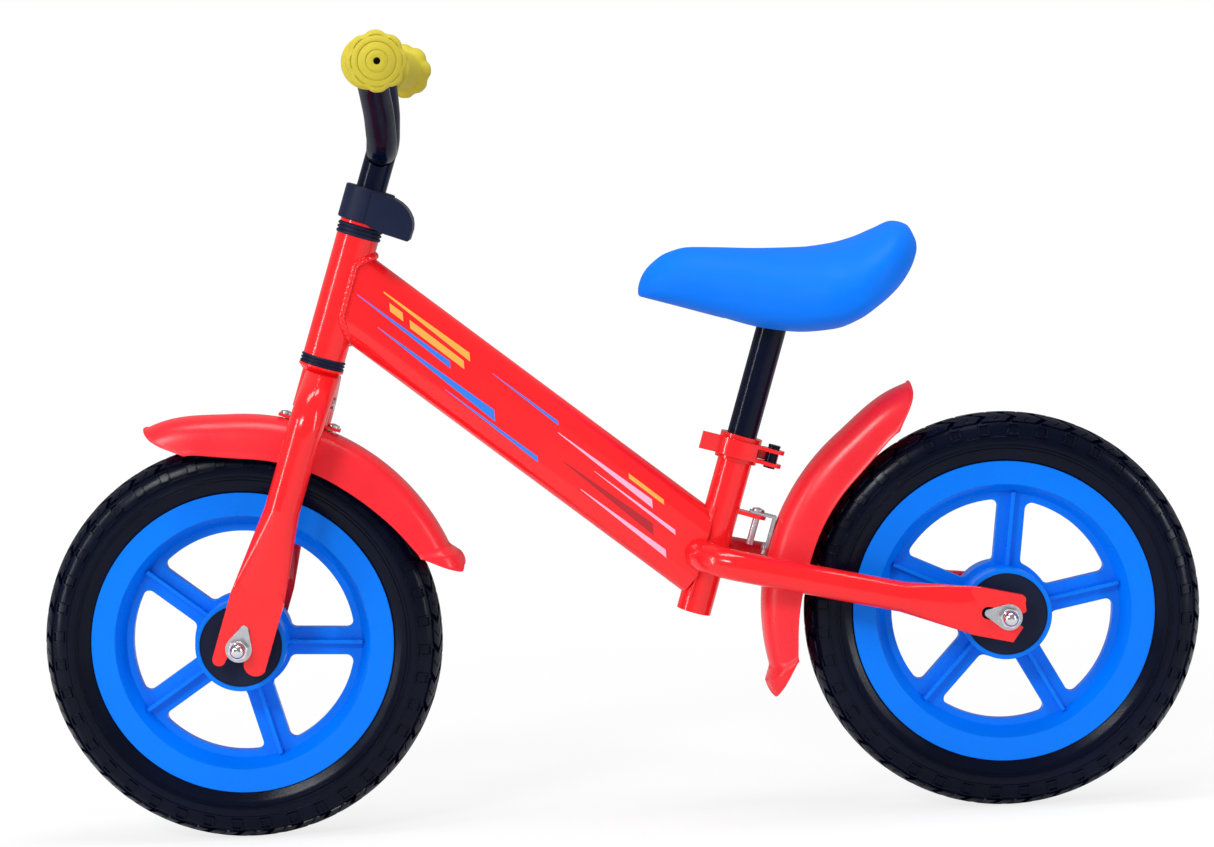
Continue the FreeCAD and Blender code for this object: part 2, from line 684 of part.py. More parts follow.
def hub_bearings(wheel, frame):
    """Outer races and balls turn with the wheel, inner races stay on the axle."""
    bore = axle_radius
    outside = size.bearing_outside / 2
    track = (size.bearing_bore + size.bearing_outside) / 4
    land = size.bearing_ball / 2 * 0.8
    outer = bearing_race(f"{wheel}_outer_race_right", frame, track + land, outside, True)
    inner = bearing_race(f"{wheel}_inner_race_right", frame, bore, track - land, False)
    group(f"{wheel}_bearing_outer_races", [outer, mirrored(outer, frame)])
    group(f"{wheel}_bearing_inner_races", [inner, mirrored(inner, frame)])
    middle = size.bearing_spacing / 2 - size.bearing_width / 2
    ball = size.bearing_ball / 2
    balls = []
    for number in range(int(size.bearing_ball_count.value)):
        angle = math.radians(360 * number / size.bearing_ball_count.value)
        sphere = doc.addObject("Part::Sphere", f"{wheel}_ball_{number}")
        bind(sphere, "Radius", ball)
        sphere.Placement = frame.multiply(FreeCAD.Placement(
            Vector(track.value * math.cos(angle), middle.value, track.value * math.sin(angle)),
            FreeCAD.Rotation()))
        balls.append(sphere)
    return group(f"{wheel}_bearing_balls", balls + [mirrored(sphere, frame) for sphere in balls])


def axle(name, frame):
    return keep(name, rod(name, frame, axle_radius, -size.axle_overhang, size.axle_overhang, "Y_Axis"))


def axle_nuts(name, frame):
    """Domed hexagon nuts outside the washers."""
    body = new_body(f"{name}_right", frame)
    hexagon = new_sketch(body, "XZ_Plane", f"{name}_hexagon", -washer_outer)
    flat = size.nut_flats / 2
    corner = size.nut_flats / root(as_size(3))
    draw_path(hexagon, [(flat, corner / 2), (0, corner), (-flat, corner / 2), (-flat, -corner / 2),
                        (0, -corner), (flat, -corner / 2)])
    draw_circle(hexagon, axle_radius)
    pad(body, hexagon, size.nut_height, backwards=True)
    dome = size.nut_dome_radius
    outer = washer_outer + size.nut_height
    profile = new_sketch(body, "YZ_Plane", f"{name}_dome")
    end = size.axle_overhang + 2
    draw_path(profile, [(outer - 1, axle_radius), (size.axle_overhang, axle_radius),
                        (size.axle_overhang, 0), (end, 0), (end, 1), (outer, dome, end - 0.9, dome * 0.7),
                        (outer - 1, dome)])
    revolve(body, profile, "Y_Axis")
    return group(name, [body, mirrored(body, frame)])


def tab_washers(name, frame):
    """Drop-shaped washers whose tab points along the slot."""
    body = new_body(f"{name}_right", frame)
    sketch = new_sketch(body, "XZ_Plane", f"{name}_outline", -dropout_outer)
    radius = size.washer_radius
    tip = size.washer_tab
    tip_half = 2.2
    contact = radius * 0.92
    contact_rise = radius * 0.392
    draw_path(sketch, [(contact, contact_rise, 0, -radius), (tip_half, tip - 1),
                       (-tip_half, tip - 1, 0, tip), (-contact, contact_rise)])
    draw_circle(sketch, axle_radius)
    pad(body, sketch, size.washer_thickness, backwards=True)
    return group(name, [body, mirrored(body, frame)])


def axle_spacers(name, frame):
    """Sleeves that hold the inner races between the frame or fork ends."""
    spacer = sleeve(f"{name}_right", frame, size.spacer_outside / 2, axle_radius,
                    size.bearing_spacing / 2, dropout_inner, "Y_Axis")
    return group(name, [spacer, mirrored(spacer, frame)])


def wheel(prefix, frame, first_spoke, end_frame):
    tyre(f"{prefix}_tyre", frame)
    rim(f"{prefix}_rim", frame, first_spoke)
    hub_caps(f"{prefix}_hub_caps", frame)
    hub_bearings(f"{prefix}_wheel", frame)
    axle(f"{prefix}_axle", frame)
    axle_spacers(f"{prefix}_axle_spacers", frame)
    tab_washers(f"{prefix}_tab_washers", end_frame)
    axle_nuts(f"{prefix}_axle_nuts", end_frame)


# ---------------------------------------------------------------- head tube and headset
def head_tube():
    outer = size.head_tube_outside / 2
    return keep("head_tube", sleeve("head_tube", STEERING, outer, outer - size.head_tube_wall,
                                    size.head_tube_start, head_tube_top))


def headset_cup(name, rim_start, rim_end, sleeve_end):
    """Flanged bush: a visible ring outside the head tube and a sleeve inside it."""
    bore = steerer_radius + size.sliding_play
    insert = size.head_tube_outside / 2 - size.head_tube_wall
    ring = size.cup_outside / 2
    meeting = rim_end if sleeve_end.value > rim_end.value else rim_start
    far = rim_start if sleeve_end.value > rim_end.value else rim_end
    return keep(name, turned_body(name, STEERING, [
        (bore, far), (ring, far), (ring, meeting), (insert, meeting), (insert, sleeve_end),
        (bore, sleeve_end)], "Z_Axis"))


def lock_ring():
    return keep("headset_lock_ring", sleeve("headset_lock_ring", STEERING, size.head_tube_outside / 2,
                                            steerer_radius, upper_cup_top, lock_ring_top))


# ---------------------------------------------------------------- fork
def steerer():
    """Steerer tube; its upper part is bored for the handlebar post, a cross hole takes the bolt."""
    tube = sleeve("steerer_tube", STEERING, steerer_radius, post_bore, size.steerer_end, steerer_top)
    hole = cylinder("steerer_bolt_hole", STEERING, bolt_hole_radius, 0, steerer_radius * 2, "x",
                    (0, size.bracket_bolt_height))
    return cut("fork_steerer", tube, [hole])


def crown():
    """Flange on the steerer that carries the lower cup."""
    flange = size.cup_outside / 2
    return keep("fork_crown", turned_body("fork_crown", STEERING, [
        (steerer_radius, crown_base), (flange - 3, crown_base), (flange, crown_top - 1.5),
        (flange, crown_top), (steerer_radius, crown_top)], "Z_Axis"))


def fork_leg(name, side):
    """Round tube bent in to the steerer, flattened below to a slotted plate with two lobes."""
    body = new_body(f"{name}_solid", STEERING)
    radius = size.fork_leg_outside / 2
    offset = size.fork_leg_offset * side
    behind = size.fork_leg_setback
    bend = size.fork_shoulder_radius
    turn = size.fork_shoulder_angle
    bend_in = bend * (1 - cosine(turn))
    bend_up = bend * sine(turn)
    half_turn = turn / 2
    inner_y = (size.fork_leg_offset - bend_in) * side
    inner_z = size.fork_shoulder + bend_up
    end_z = inner_z + (size.fork_leg_offset - bend_in) * cosine(turn) / sine(turn)

    path = new_sketch(body, "YZ_Plane", f"{name}_path", behind)
    draw_path(path, [
        (offset, size.fork_taper_top), (offset, size.fork_shoulder),
        (inner_y, inner_z, (size.fork_leg_offset - bend * (1 - cosine(half_turn))) * side,
         size.fork_shoulder + bend * sine(half_turn)),
        (0, end_z)], closed=False)
    ring = new_sketch(body, "XY_Plane", f"{name}_ring", size.fork_taper_top)
    draw_circle(ring, radius, behind, offset)
    pipe = body.newObject("PartDesign::AdditivePipe", f"{name}_pipe")
    pipe.Profile = ring
    pipe.Spine = path
    body.Tip = pipe

    taper_span = size.fork_taper_top - size.fork_taper_end
    top = new_sketch(body, "XY_Plane", f"{name}_taper_top", size.fork_taper_top)
    draw_circle(top, radius, behind, offset)
    stations = []
    plate_half = size.fork_plate_width / 2
    thin = size.dropout_thickness / 2
    for number, (share, wide, narrow) in enumerate(((0.5, 0.5, 0.52), (1.0, 1.0, 1.0)), start=1):
        half_x = radius + (plate_half - radius) * wide
        half_y = radius + (thin - radius) * narrow
        station = new_sketch(body, "XY_Plane", f"{name}_taper_{number}",
                             size.fork_taper_top - taper_span * share)
        stations.append(draw_ellipse(station, half_x, half_y, behind, offset))
    taper = body.newObject("PartDesign::AdditiveLoft", f"{name}_taper")
    taper.Profile = top
    taper.Sections = stations
    body.Tip = taper

    plate = new_sketch(body, "XZ_Plane", f"{name}_plate", -offset)
    lobe = size.fork_lobe_drop
    slot = size.fork_slot_width / 2
    mouth = slot + 2.5
    left, right = behind - plate_half, behind + plate_half
    plate_top = size.fork_taper_end + 6
    shoulder_half = plate_half - 3
    draw_path(plate, [
        (left, -lobe + 3, (left - mouth) / 2, -lobe - 2), (left, size.fork_taper_end),
        (behind - shoulder_half, plate_top),
        (behind + shoulder_half, plate_top), (right, size.fork_taper_end), (right, -lobe + 3),
        (mouth, -lobe + 3, (right + mouth) / 2, -lobe - 2),
        (slot, 0), (slot, size.fork_slot_top - slot),
        (-slot, size.fork_slot_top - slot, 0, size.fork_slot_top), (-slot, 0), (-mouth, -lobe + 3)])
    pad(body, plate, size.dropout_thickness, symmetric=True)

    # the leg ends at the crown and at the middle plane, and is coped around the steerer
    cap = new_sketch(body, "XZ_Plane", f"{name}_top_trim", 0)
    reach = radius * 3
    draw_path(cap, [(-reach, crown_base), (reach, crown_base), (reach, crown_base + reach * 2),
                    (-reach, crown_base + reach * 2)])
    pocket_through(body, cap)
    middle = new_sketch(body, "YZ_Plane", f"{name}_middle_trim", 0)
    draw_path(middle, [(0, size.fork_shoulder), (0, crown_top + reach), (-reach * side, crown_top + reach),
                       (-reach * side, size.fork_shoulder)])
    pocket_through(body, middle)
    cope = cylinder(f"{name}_cope", STEERING, steerer_radius, size.fork_shoulder, crown_top)
    return cut(name, body, [cope])


# ---------------------------------------------------------------- frame tubes
def draw_oval(sketch, inset):
    """Outline of the main tube, inset from its outside: two flats joined by half circles."""
    half = size.main_tube_width / 2 - inset
    straight = (size.main_tube_height - size.main_tube_width) / 2
    return draw_path(sketch, [(straight, -half), (straight, half, straight + half, 0),
                              (-straight, half), (-straight, -half, -straight - half, 0)])


def main_tube_envelope(name):
    """The space that the main tube fills, for coping what is welded to it."""
    body = new_body(name, MAIN_TUBE)
    pad(body, draw_oval(new_sketch(body, "XY_Plane", f"{name}_section"), as_size(0)), main_tube_span)
    return body


def main_tube():
    """Hollow flat-oval tube, coped to the head tube and ended just before the seat tube's axis."""
    body = new_body("main_tube_oval", MAIN_TUBE)
    section = draw_oval(new_sketch(body, "XY_Plane", "main_tube_section"), as_size(0))
    draw_oval(section, size.main_tube_wall)
    pad(body, section, main_tube_span)
    head_cope = cylinder("main_tube_head_cope", STEERING, size.head_tube_outside / 2,
                         size.head_tube_start - 30, size.head_tube_length + 60)
    back = doc.addObject("Part::Box", "main_tube_back_trim")
    trim = size.main_tube_height * 2
    bind(back, "Length", trim)
    bind(back, "Width", trim)
    bind(back, "Height", size.seat_tube_length)
    back.Placement = SEAT_TUBE.multiply(FreeCAD.Placement(
        Vector(-size.main_tube_end_gap.value, -trim.value / 2, -20), FreeCAD.Rotation()))
    seat_cope = cylinder("main_tube_seat_cope", SEAT_TUBE, seat_tube_radius, -30, size.seat_tube_length + 60)
    front = doc.addObject("Part::Box", "main_tube_front_trim")
    bind(front, "Length", trim)
    bind(front, "Width", trim)
    bind(front, "Height", trim * 2)
    front.Placement = STEERING.multiply(FreeCAD.Placement(
        Vector(-trim.value, -trim.value / 2, size.main_tube_head_joint.value - trim.value),
        FreeCAD.Rotation()))
    return cut("main_tube", body, [head_cope, back, seat_cope, front])


def seat_tube():
    """Open tube with a clamping slot at the front of its top."""
    body = sleeve("seat_tube", SEAT_TUBE, seat_tube_radius, post_bore, 0, size.seat_tube_length)
    slot = new_sketch(body, "YZ_Plane", "seat_tube_slot")
    half = size.seat_slot_width / 2
    foot = size.seat_tube_length - size.seat_slot_length
    over = size.seat_tube_length + 5
    draw_path(slot, [(half, foot), (half, over), (-half, over), (-half, foot, 0, foot - half)])
    feature = body.newObject("PartDesign::Pocket", "seat_tube_slot_pocket")
    feature.Profile = slot
    feature.Type = "ThroughAll"
    feature.Reversed = False
    return keep("seat_tube", body)


def chain_stay(name, side):
    """Tube bent in to the seat tube at the front, flattened to a slotted plate at the rear."""
    body = new_body(f"{name}_solid", STAYS)
    radius = size.stay_outside / 2
    offset = size.stay_offset * side
    bend = size.stay_bend_radius
    front = -size.stay_front_reach
    diagonal = root(as_size(0.5))
    inner_offset = (size.stay_offset - bend) * side
    path = new_sketch(body, "XY_Plane", f"{name}_path")
    draw_path(path, [
        (-size.stay_taper_start, offset), (front + bend, offset),
        (front, inner_offset,
         front + bend * (1 - diagonal), (size.stay_offset - bend * (1 - diagonal)) * side),
        (front, 0)], closed=False)
    ring = new_sketch(body, "YZ_Plane", f"{name}_ring", -size.stay_taper_start)
    draw_circle(ring, radius, offset, 0)
    pipe = body.newObject("PartDesign::AdditivePipe", f"{name}_pipe")
    pipe.Profile = ring
    pipe.Spine = path
    body.Tip = pipe

    start = draw_circle(new_sketch(body, "YZ_Plane", f"{name}_taper_start", -size.stay_taper_start),
                        radius, offset, 0)
    plate_half = size.stay_plate_height / 2
    thin = size.dropout_thickness / 2
    taper_span = size.stay_taper_start - size.stay_taper_end
    stations = []
    for number, (share, wide, narrow) in enumerate(((0.5, 0.5, 0.52), (1.0, 1.0, 1.0)), start=1):
        station = new_sketch(body, "YZ_Plane", f"{name}_taper_{number}",
                             -size.stay_taper_start + taper_span * share)
        half_y = radius + (thin - radius) * narrow
        half_z = radius + (plate_half - radius) * wide
        stations.append(draw_ellipse(station, half_y, half_z, offset, 0))
    taper = body.newObject("PartDesign::AdditiveLoft", f"{name}_taper")
    taper.Profile = start
    taper.Sections = stations
    body.Tip = taper

    plate = new_sketch(body, "XZ_Plane", f"{name}_plate", -offset)
    end = size.stay_plate_end
    slot = size.stay_slot_height / 2
    front_end = -size.stay_taper_end
    draw_path(plate, [
        (front_end - 6, plate_half - 3), (front_end - 6, -plate_half + 3), (front_end, -plate_half),
        (end - 5, -plate_half), (end, -slot - 1), (end - 1.5, -slot), (-size.stay_slot_front + slot, -slot),
        (-size.stay_slot_front + slot, slot, -size.stay_slot_front, 0), (end - 1.5, slot), (end, slot + 2),
        (end - 2, plate_half - 5), (end - 6, plate_half, end - 3, plate_half - 1.2), (front_end, plate_half)])
    pad(body, plate, size.dropout_thickness, symmetric=True)

    middle = new_sketch(body, "XY_Plane", f"{name}_middle_trim")
    reach = radius * 3
    draw_path(middle, [(front - reach, 0), (front + reach, 0), (front + reach, -reach * side),
                       (front - reach, -reach * side)])
    pocket_through(body, middle)
    cope = cylinder(f"{name}_cope", SEAT_TUBE, seat_tube_radius, -40, size.seat_tube_length + 60)
    return cut(name, body, [cope, main_tube_envelope(f"{name}_main_tube_cope")])


def strap_tab():
    """Tab on the back of the seat tube that carries the rear mudguard's strap."""
    body = new_body("seat_tube_tab_plate", SEAT_TUBE)
    outline = new_sketch(body, "XY_Plane", "seat_tube_tab_outline", size.tab_height_on_tube)
    half = size.tab_width / 2
    round_start = size.tab_length - half
    draw_path(outline, [(0, half), (0, -half), (round_start, -half), (round_start, half, size.tab_length, 0)])
    draw_circle(outline, bolt_hole_radius, size.tab_hole, 0)
    pad(body, outline, size.tab_thickness)
    cope = cylinder("seat_tube_tab_cope", SEAT_TUBE, seat_tube_radius, 0, size.seat_tube_length)
    return cut("seat_tube_tab", body, [cope])


# ---------------------------------------------------------------- seat clamp
def clamp_collar():
    """Split collar around the top of the seat tube, with two lugs behind it."""
    body = new_body("seat_clamp_collar_blank", SEAT_TUBE)
    outer = seat_tube_radius + size.collar_wall
    base = size.seat_tube_length - size.collar_height
    ring = new_sketch(body, "XY_Plane", "seat_clamp_ring", base)
    draw_circle(ring, outer)
    draw_circle(ring, seat_tube_radius)
    pad(body, ring, size.collar_height)
    gap = size.lug_gap / 2
    lug_outer = gap + size.lug_thickness
    lug_base = size.seat_tube_length - size.collar_height / 2 - size.lug_height / 2
    lugs = new_sketch(body, "XY_Plane", "seat_clamp_lugs", lug_base)
    reach = size.lug_reach
    start = seat_tube_radius + size.collar_wall / 2
    draw_path(lugs, [(start, -lug_outer), (reach, -lug_outer), (reach, lug_outer), (start, lug_outer)])
    pad(body, lugs, size.lug_height)
    split = new_sketch(body, "XY_Plane", "seat_clamp_split")
    draw_path(split, [(seat_tube_radius - 1, -gap), (reach + 1, -gap), (reach + 1, gap),
                      (seat_tube_radius - 1, gap)])
    pocket_through(body, split)
    hole = cylinder("seat_clamp_hole", SEAT_TUBE, bolt_hole_radius, -30, 60, "y",
                    (size.barrel_setback, size.seat_tube_length - size.collar_height / 2))
    return cut("seat_clamp_collar", body, [hole])


def clamp_hardware():
    """Draw bolt through the lugs, its nut, and the barrel that the lever turns on."""
    middle = size.seat_tube_length - size.collar_height / 2
    gap = size.lug_gap / 2
    lug_outer = gap + size.lug_thickness
    side = size.barrel_side
    radius = size.barrel_diameter / 2
    barrel_base = middle - size.lever_height / 2 - size.barrel_overhang
    barrel_top = middle + size.lever_height / 2 + size.barrel_overhang
    frame = SEAT_TUBE.multiply(FreeCAD.Placement(
        Vector(size.barrel_setback.value, -side.value, 0), FreeCAD.Rotation()))
    head = size.bolt_head_diameter / 2
    keep("seat_clamp_barrel", turned_body("seat_clamp_barrel", frame, [
        (0, barrel_base), (radius, barrel_base), (radius, barrel_top), (head, barrel_top),
        (head, barrel_top + size.bolt_head_height / 2), (0, barrel_top + size.bolt_head_height / 2)],
        "Z_Axis"))
    bolt_frame = SEAT_TUBE.multiply(FreeCAD.Placement(
        Vector(size.barrel_setback.value, 0, middle.value), FreeCAD.Rotation()))
    bolt_start = -side + radius
    nut_end = lug_outer + size.clamp_nut_height
    bolt_end = nut_end + size.clamp_bolt_end
    bolt = rod("seat_clamp_bolt", bolt_frame, bolt_radius, bolt_start, bolt_end, "Y_Axis")
    keep("seat_clamp_bolt", bolt)
    nut = sleeve("seat_clamp_nut", bolt_frame, head, bolt_radius, lug_outer, nut_end, "Y_Axis")
    keep("seat_clamp_nut", nut)


def clamp_lever():
    """Flat lever that wraps the collar's left side, with a finger tab in front and two prongs behind."""
    middle = size.seat_tube_length - size.collar_height / 2
    inner = seat_tube_radius + size.collar_wall + size.lever_gap
    outer = inner + size.lever_thickness
    setback, side = size.barrel_setback, size.barrel_side
    eye = size.barrel_diameter / 2 + size.lever_thickness
    body = new_body("lever_blank", SEAT_TUBE)
    outline = new_sketch(body, "XY_Plane", "lever_outline", middle - size.lever_height / 2)
    cosine_front, sine_front = cosine(size.lever_wrap_angle), sine(size.lever_wrap_angle)
    diagonal = root(as_size(0.5))
    tab = size.lever_tab_reach
    tab_side = inner * sine_front + size.lever_tab_offset
    bulge = size.lever_back_bulge
    draw_path(outline, [
        (setback + 1, -side + eye, setback + 1 + eye, -side), (setback - eye + 1.5, -side + eye - 2),
        (inner * diagonal, -inner * diagonal),
        (-inner * cosine_front, -inner * sine_front,
         -inner * sine(as_size(10)), -inner * cosine(as_size(10))),
        (-tab, -tab_side), (-tab, -tab_side - size.lever_thickness),
        (-outer * cosine_front + 1, -outer * sine_front - 1.5),
        (outer * diagonal + bulge, -outer * diagonal - bulge / 2, 0, -outer - bulge / 2),
        (setback + 1, -side - eye)])
    pad(body, outline, size.lever_height)
    slot = new_sketch(body, "XZ_Plane", "lever_slot")
    low, high = middle - size.lever_slot / 2, middle + size.lever_slot / 2
    slot_start = setback - eye - 4
    slot_end = setback + eye + 5
    draw_path(slot, [(slot_start, low), (slot_end, low), (slot_end, high), (slot_start, high)])
    pocket_through(body, slot)
    pin_hole = cylinder("lever_pin_hole", SEAT_TUBE, size.barrel_diameter / 2 + size.axle_play,
                        0, size.seat_tube_length + 20, "z", (setback, -side))
    return cut("seat_clamp_lever", body, [pin_hole])


# ---------------------------------------------------------------- mudguards
def fender_shell(name, frame, radius, start, end, nose_at_end):
    """Moulded arch: rounded crown, straight sides, nose swept forward."""
    body = new_body(f"{name}_shell", frame)
    half = size.fender_width / 2
    lip = radius - size.fender_depth
    curve = size.fender_edge_radius
    wall = size.fender_wall
    flat = half - curve * 1.1
    knee = curve * 0.3
    sketch = new_sketch(body, "YZ_Plane", f"{name}_section")
    outer = [(half, lip), (half - 1, radius - curve),
             (flat, radius - 2.2, half - knee - 1, radius - knee - 1.6),
             (-flat, radius - 2.2, 0, radius),
             (-half + 1, radius - curve, -half + knee + 1, radius - knee - 1.6),
             (-half, lip)]
    inner = [(-half + wall, lip), (-half + wall + 1, radius - curve),
             (-flat + 0.4, radius - 2.2 - wall,
              -half + knee + 1 + wall * 0.75, radius - knee - 1.6 - wall * 0.7),
             (flat - 0.4, radius - 2.2 - wall, 0, radius - wall),
             (half - wall - 1, radius - curve,
              half - knee - 1 - wall * 0.75, radius - knee - 1.6 - wall * 0.7),
             (half - wall, lip)]
    draw_path(sketch, outer + inner)
    arch = revolve(body, sketch, "Y_Axis", end - start)
    body.Placement = frame.multiply(FreeCAD.Placement(
        Vector(), FreeCAD.Rotation(Vector(0, 1, 0), 90 - start.value)))
    arch.Reversed = True

    sweep = size.fender_nose_sweep
    nose_angle = (end - start) if nose_at_end else as_size(0)
    sign = 1 if nose_at_end else -1
    trim = new_sketch(body, "XZ_Plane", f"{name}_nose_trim")
    trim.AttachmentOffset = FreeCAD.Placement(
        Vector(), FreeCAD.Rotation(Vector(0, 0, 1), nose_angle.value))
    far = radius + 10
    side_x = lip * sine(sweep) * -sign
    side_z = lip * cosine(sweep)
    draw_path(trim, [(0, radius + 0.5), (side_x, side_z), (side_x * 1.3, side_z - 20),
                     (radius * 0.3 * sign, side_z - 20), (radius * 0.3 * sign, far), (0, far)])
    pocket_through(body, trim)
    return body


def bracket_bolts():
    return -size.bracket_front_bolt, size.bracket_rear_bolt


def front_fender():
    shell = fender_shell("front_fender", FRONT_WHEEL, size.front_fender_radius,
                         size.front_fender_start, size.front_fender_end, True)
    start = size.front_fender_radius - 20
    holes = [cylinder(f"front_fender_hole_{number}", STEERING, bolt_hole_radius, start, 30, "z", (x, 0))
             for number, x in enumerate(bracket_bolts())]
    return cut("front_fender", shell, holes)


def rear_fender_centre():
    lead = size.rear_fender_lead
    angle = size.rear_fender_lead_angle
    return placed(rear_axle_x + lead * cosine(angle), axle_height + lead * sine(angle))


def rear_fender():
    shell = fender_shell("rear_fender", rear_fender_centre(), size.rear_fender_radius,
                         size.rear_fender_start, size.rear_fender_end, False)
    height = size.tab_height_on_tube - size.strap_bolt_drop
    hole = cylinder("rear_fender_hole", SEAT_TUBE, bolt_hole_radius, size.tab_length, 30, "x", (0, height))
    return cut("rear_fender", shell, [hole])


def front_bracket():
    """L-shaped strip: one leg on the mudguard's crown, one up to the steerer's bolt."""
    body = new_body("front_fender_bracket_strip", STEERING)
    thick = size.strap_thickness
    base = size.front_fender_radius + 0.2
    back = steerer_radius + thick
    margin = size.bolt_head_diameter / 2 + 1
    front = -size.bracket_front_bolt - margin
    rear = size.bracket_rear_bolt + margin
    top = size.bracket_bolt_height + 7
    outline = new_sketch(body, "XZ_Plane", "front_fender_bracket_outline")
    draw_path(outline, [(front, base), (rear, base), (rear, base + thick), (back, base + thick),
                        (back, top), (steerer_radius, top), (steerer_radius, base + thick),
                        (front, base + thick)])
    pad(body, outline, size.strap_width, symmetric=True)
    holes = [cylinder(f"front_bracket_hole_{number}", STEERING, bolt_hole_radius, base - 5, 15, "z", (x, 0))
             for number, x in enumerate(bracket_bolts())]
    holes.append(cylinder("front_bracket_bolt_hole", STEERING, bolt_hole_radius, 0, 30, "x",
                          (0, size.bracket_bolt_height)))
    return cut("front_fender_bracket", body, holes)


def small_bolt(name, frame, head_from, shank_to, direction, offset):
    """A pan-head bolt: head on the far side of head_from, shank down to shank_to."""
    lean = {"x": FreeCAD.Rotation(Vector(0, 1, 0), 90), "z": FreeCAD.Rotation()}[direction]
    place = {"x": Vector(0, float(offset[0]), float(offset[1])),
             "z": Vector(float(offset[0]), float(offset[1]), 0)}[direction]
    turned = frame.multiply(FreeCAD.Placement(place, lean))
    head = size.bolt_head_diameter / 2
    tall = size.bolt_head_height
    if float(shank_to) > float(head_from):
        tall = -tall
    return turned_body(name, turned, [
        (0, shank_to), (bolt_radius, shank_to), (bolt_radius, head_from), (head, head_from),
        (head, head_from + tall * 0.6), (0, head_from + tall)], "Z_Axis")


def front_fender_bolts():
    top = size.front_fender_radius + 0.2 + size.strap_thickness
    under = size.front_fender_radius - size.fender_wall - 6
    bolts = [small_bolt(f"front_fender_bolt_{number}", STEERING, top, under, "z", (x, 0))
             for number, x in enumerate(bracket_bolts())]
    bolts.append(small_bolt("front_bracket_bolt", STEERING, steerer_radius + size.strap_thickness,
                            steerer_radius - 4, "x", (0, size.bracket_bolt_height)))
    return group("front_fender_bolts", bolts)


def rear_strap():
    """Bent zinc strip from the tab to the rear mudguard."""
    body = new_body("rear_fender_strap_strip", SEAT_TUBE)
    thick = size.strap_thickness
    base = size.tab_height_on_tube + size.tab_thickness
    back = strap_face()
    start = size.tab_hole - 6
    foot = size.tab_height_on_tube - size.strap_drop
    outline = new_sketch(body, "XZ_Plane", "rear_fender_strap_outline")
    draw_path(outline, [(start, base), (back - thick, base), (back - thick, foot), (back, foot),
                        (back, base + thick), (start, base + thick)])
    pad(body, outline, size.strap_width, symmetric=True)
    height = size.tab_height_on_tube - size.strap_bolt_drop
    return cut("rear_fender_strap", body, [
        cylinder("rear_strap_tab_hole", SEAT_TUBE, bolt_hole_radius, base - 5, 15, "z", (size.tab_hole, 0)),
        cylinder("rear_strap_fender_hole", SEAT_TUBE, bolt_hole_radius, back - 10, 15, "x", (0, height))])


def strap_face():
    """Where the strap lies against the mudguard's crown, behind the seat tube's axis."""
    centre = SEAT_TUBE.inverse().multVec(rear_fender_centre().Base)
    height = size.tab_height_on_tube.value - size.strap_bolt_drop.value
    rise = height - centre.z
    return as_size(centre.x - math.sqrt(size.rear_fender_radius.value ** 2 - rise ** 2) - 0.5)


def rear_fender_bolts():
    top = size.tab_height_on_tube + size.tab_thickness + size.strap_thickness
    height = size.tab_height_on_tube - size.strap_bolt_drop
    back = strap_face()
    return group("rear_fender_bolts", [
        small_bolt("rear_tab_bolt", SEAT_TUBE, top, size.tab_height_on_tube - 20, "z", (size.tab_hole, 0)),
        small_bolt("rear_strap_bolt", SEAT_TUBE, back - size.strap_thickness, back + 6, "x", (0, height))])


# ---------------------------------------------------------------- seat
seat_post_top = size.seat_tube_length + size.seat_post_above_collar
seat_post_base = size.seat_tube_length - size.seat_post_insertion
saddle_x = seat_foot_x + seat_post_top * sine(size.seat_angle)
saddle_z = size.seat_tube_foot_z + seat_post_top * cosine(size.seat_angle)
SADDLE = placed(saddle_x, saddle_z)


def seat_post():
    """Steel tube, cut level under the saddle plate."""
    tube = sleeve("seat_post_tube", SEAT_TUBE, post_radius, post_radius - size.post_wall,
                  seat_post_base, seat_post_top + 10)
    block = doc.addObject("Part::Box", "seat_post_level")
    side = size.post_outside * 3
    bind(block, "Length", side)
    bind(block, "Width", side)
    bind(block, "Height", side)
    block.Placement = SADDLE.multiply(FreeCAD.Placement(
        Vector(-side.value / 2, -side.value / 2, 0), FreeCAD.Rotation()))
    return cut("seat_post", tube, [block])


def centred_box(body, name, base, length, width, thickness, shift=0):
    """A flat plate with its sides parallel to X and Y."""
    sketch = new_sketch(body, "XY_Plane", name, base)
    half_x, half_y = length / 2, width / 2
    draw_path(sketch, [(shift - half_x, -half_y), (shift + half_x, -half_y), (shift + half_x, half_y),
                       (shift - half_x, half_y)])
    return pad(body, sketch, thickness)


def screw_places():
    half_x = size.saddle_plate_length / 2 - 8
    half_y = size.saddle_plate_width / 2 - 7
    return [(x, y) for x in (-half_x, half_x) for y in (-half_y, half_y)]


def seat_post_plate():
    body = new_body("seat_post_plate_blank", SADDLE)
    plate = centred_box(body, "seat_post_plate_outline", 0, size.saddle_plate_length,
                        size.saddle_plate_width, size.saddle_plate_thickness)
    corner = size.saddle_plate_width / 5
    fillet(body, plate, lambda edge: is_upright(edge), corner)
    holes = [cylinder(f"seat_plate_hole_{number}", SADDLE, bolt_hole_radius, -1, 10, "z", place)
             for number, place in enumerate(screw_places())]
    return cut("seat_post_plate", body, holes)


def is_upright(edge):
    box = edge.BoundBox
    return box.XLength < 1e-6 and box.YLength < 1e-6


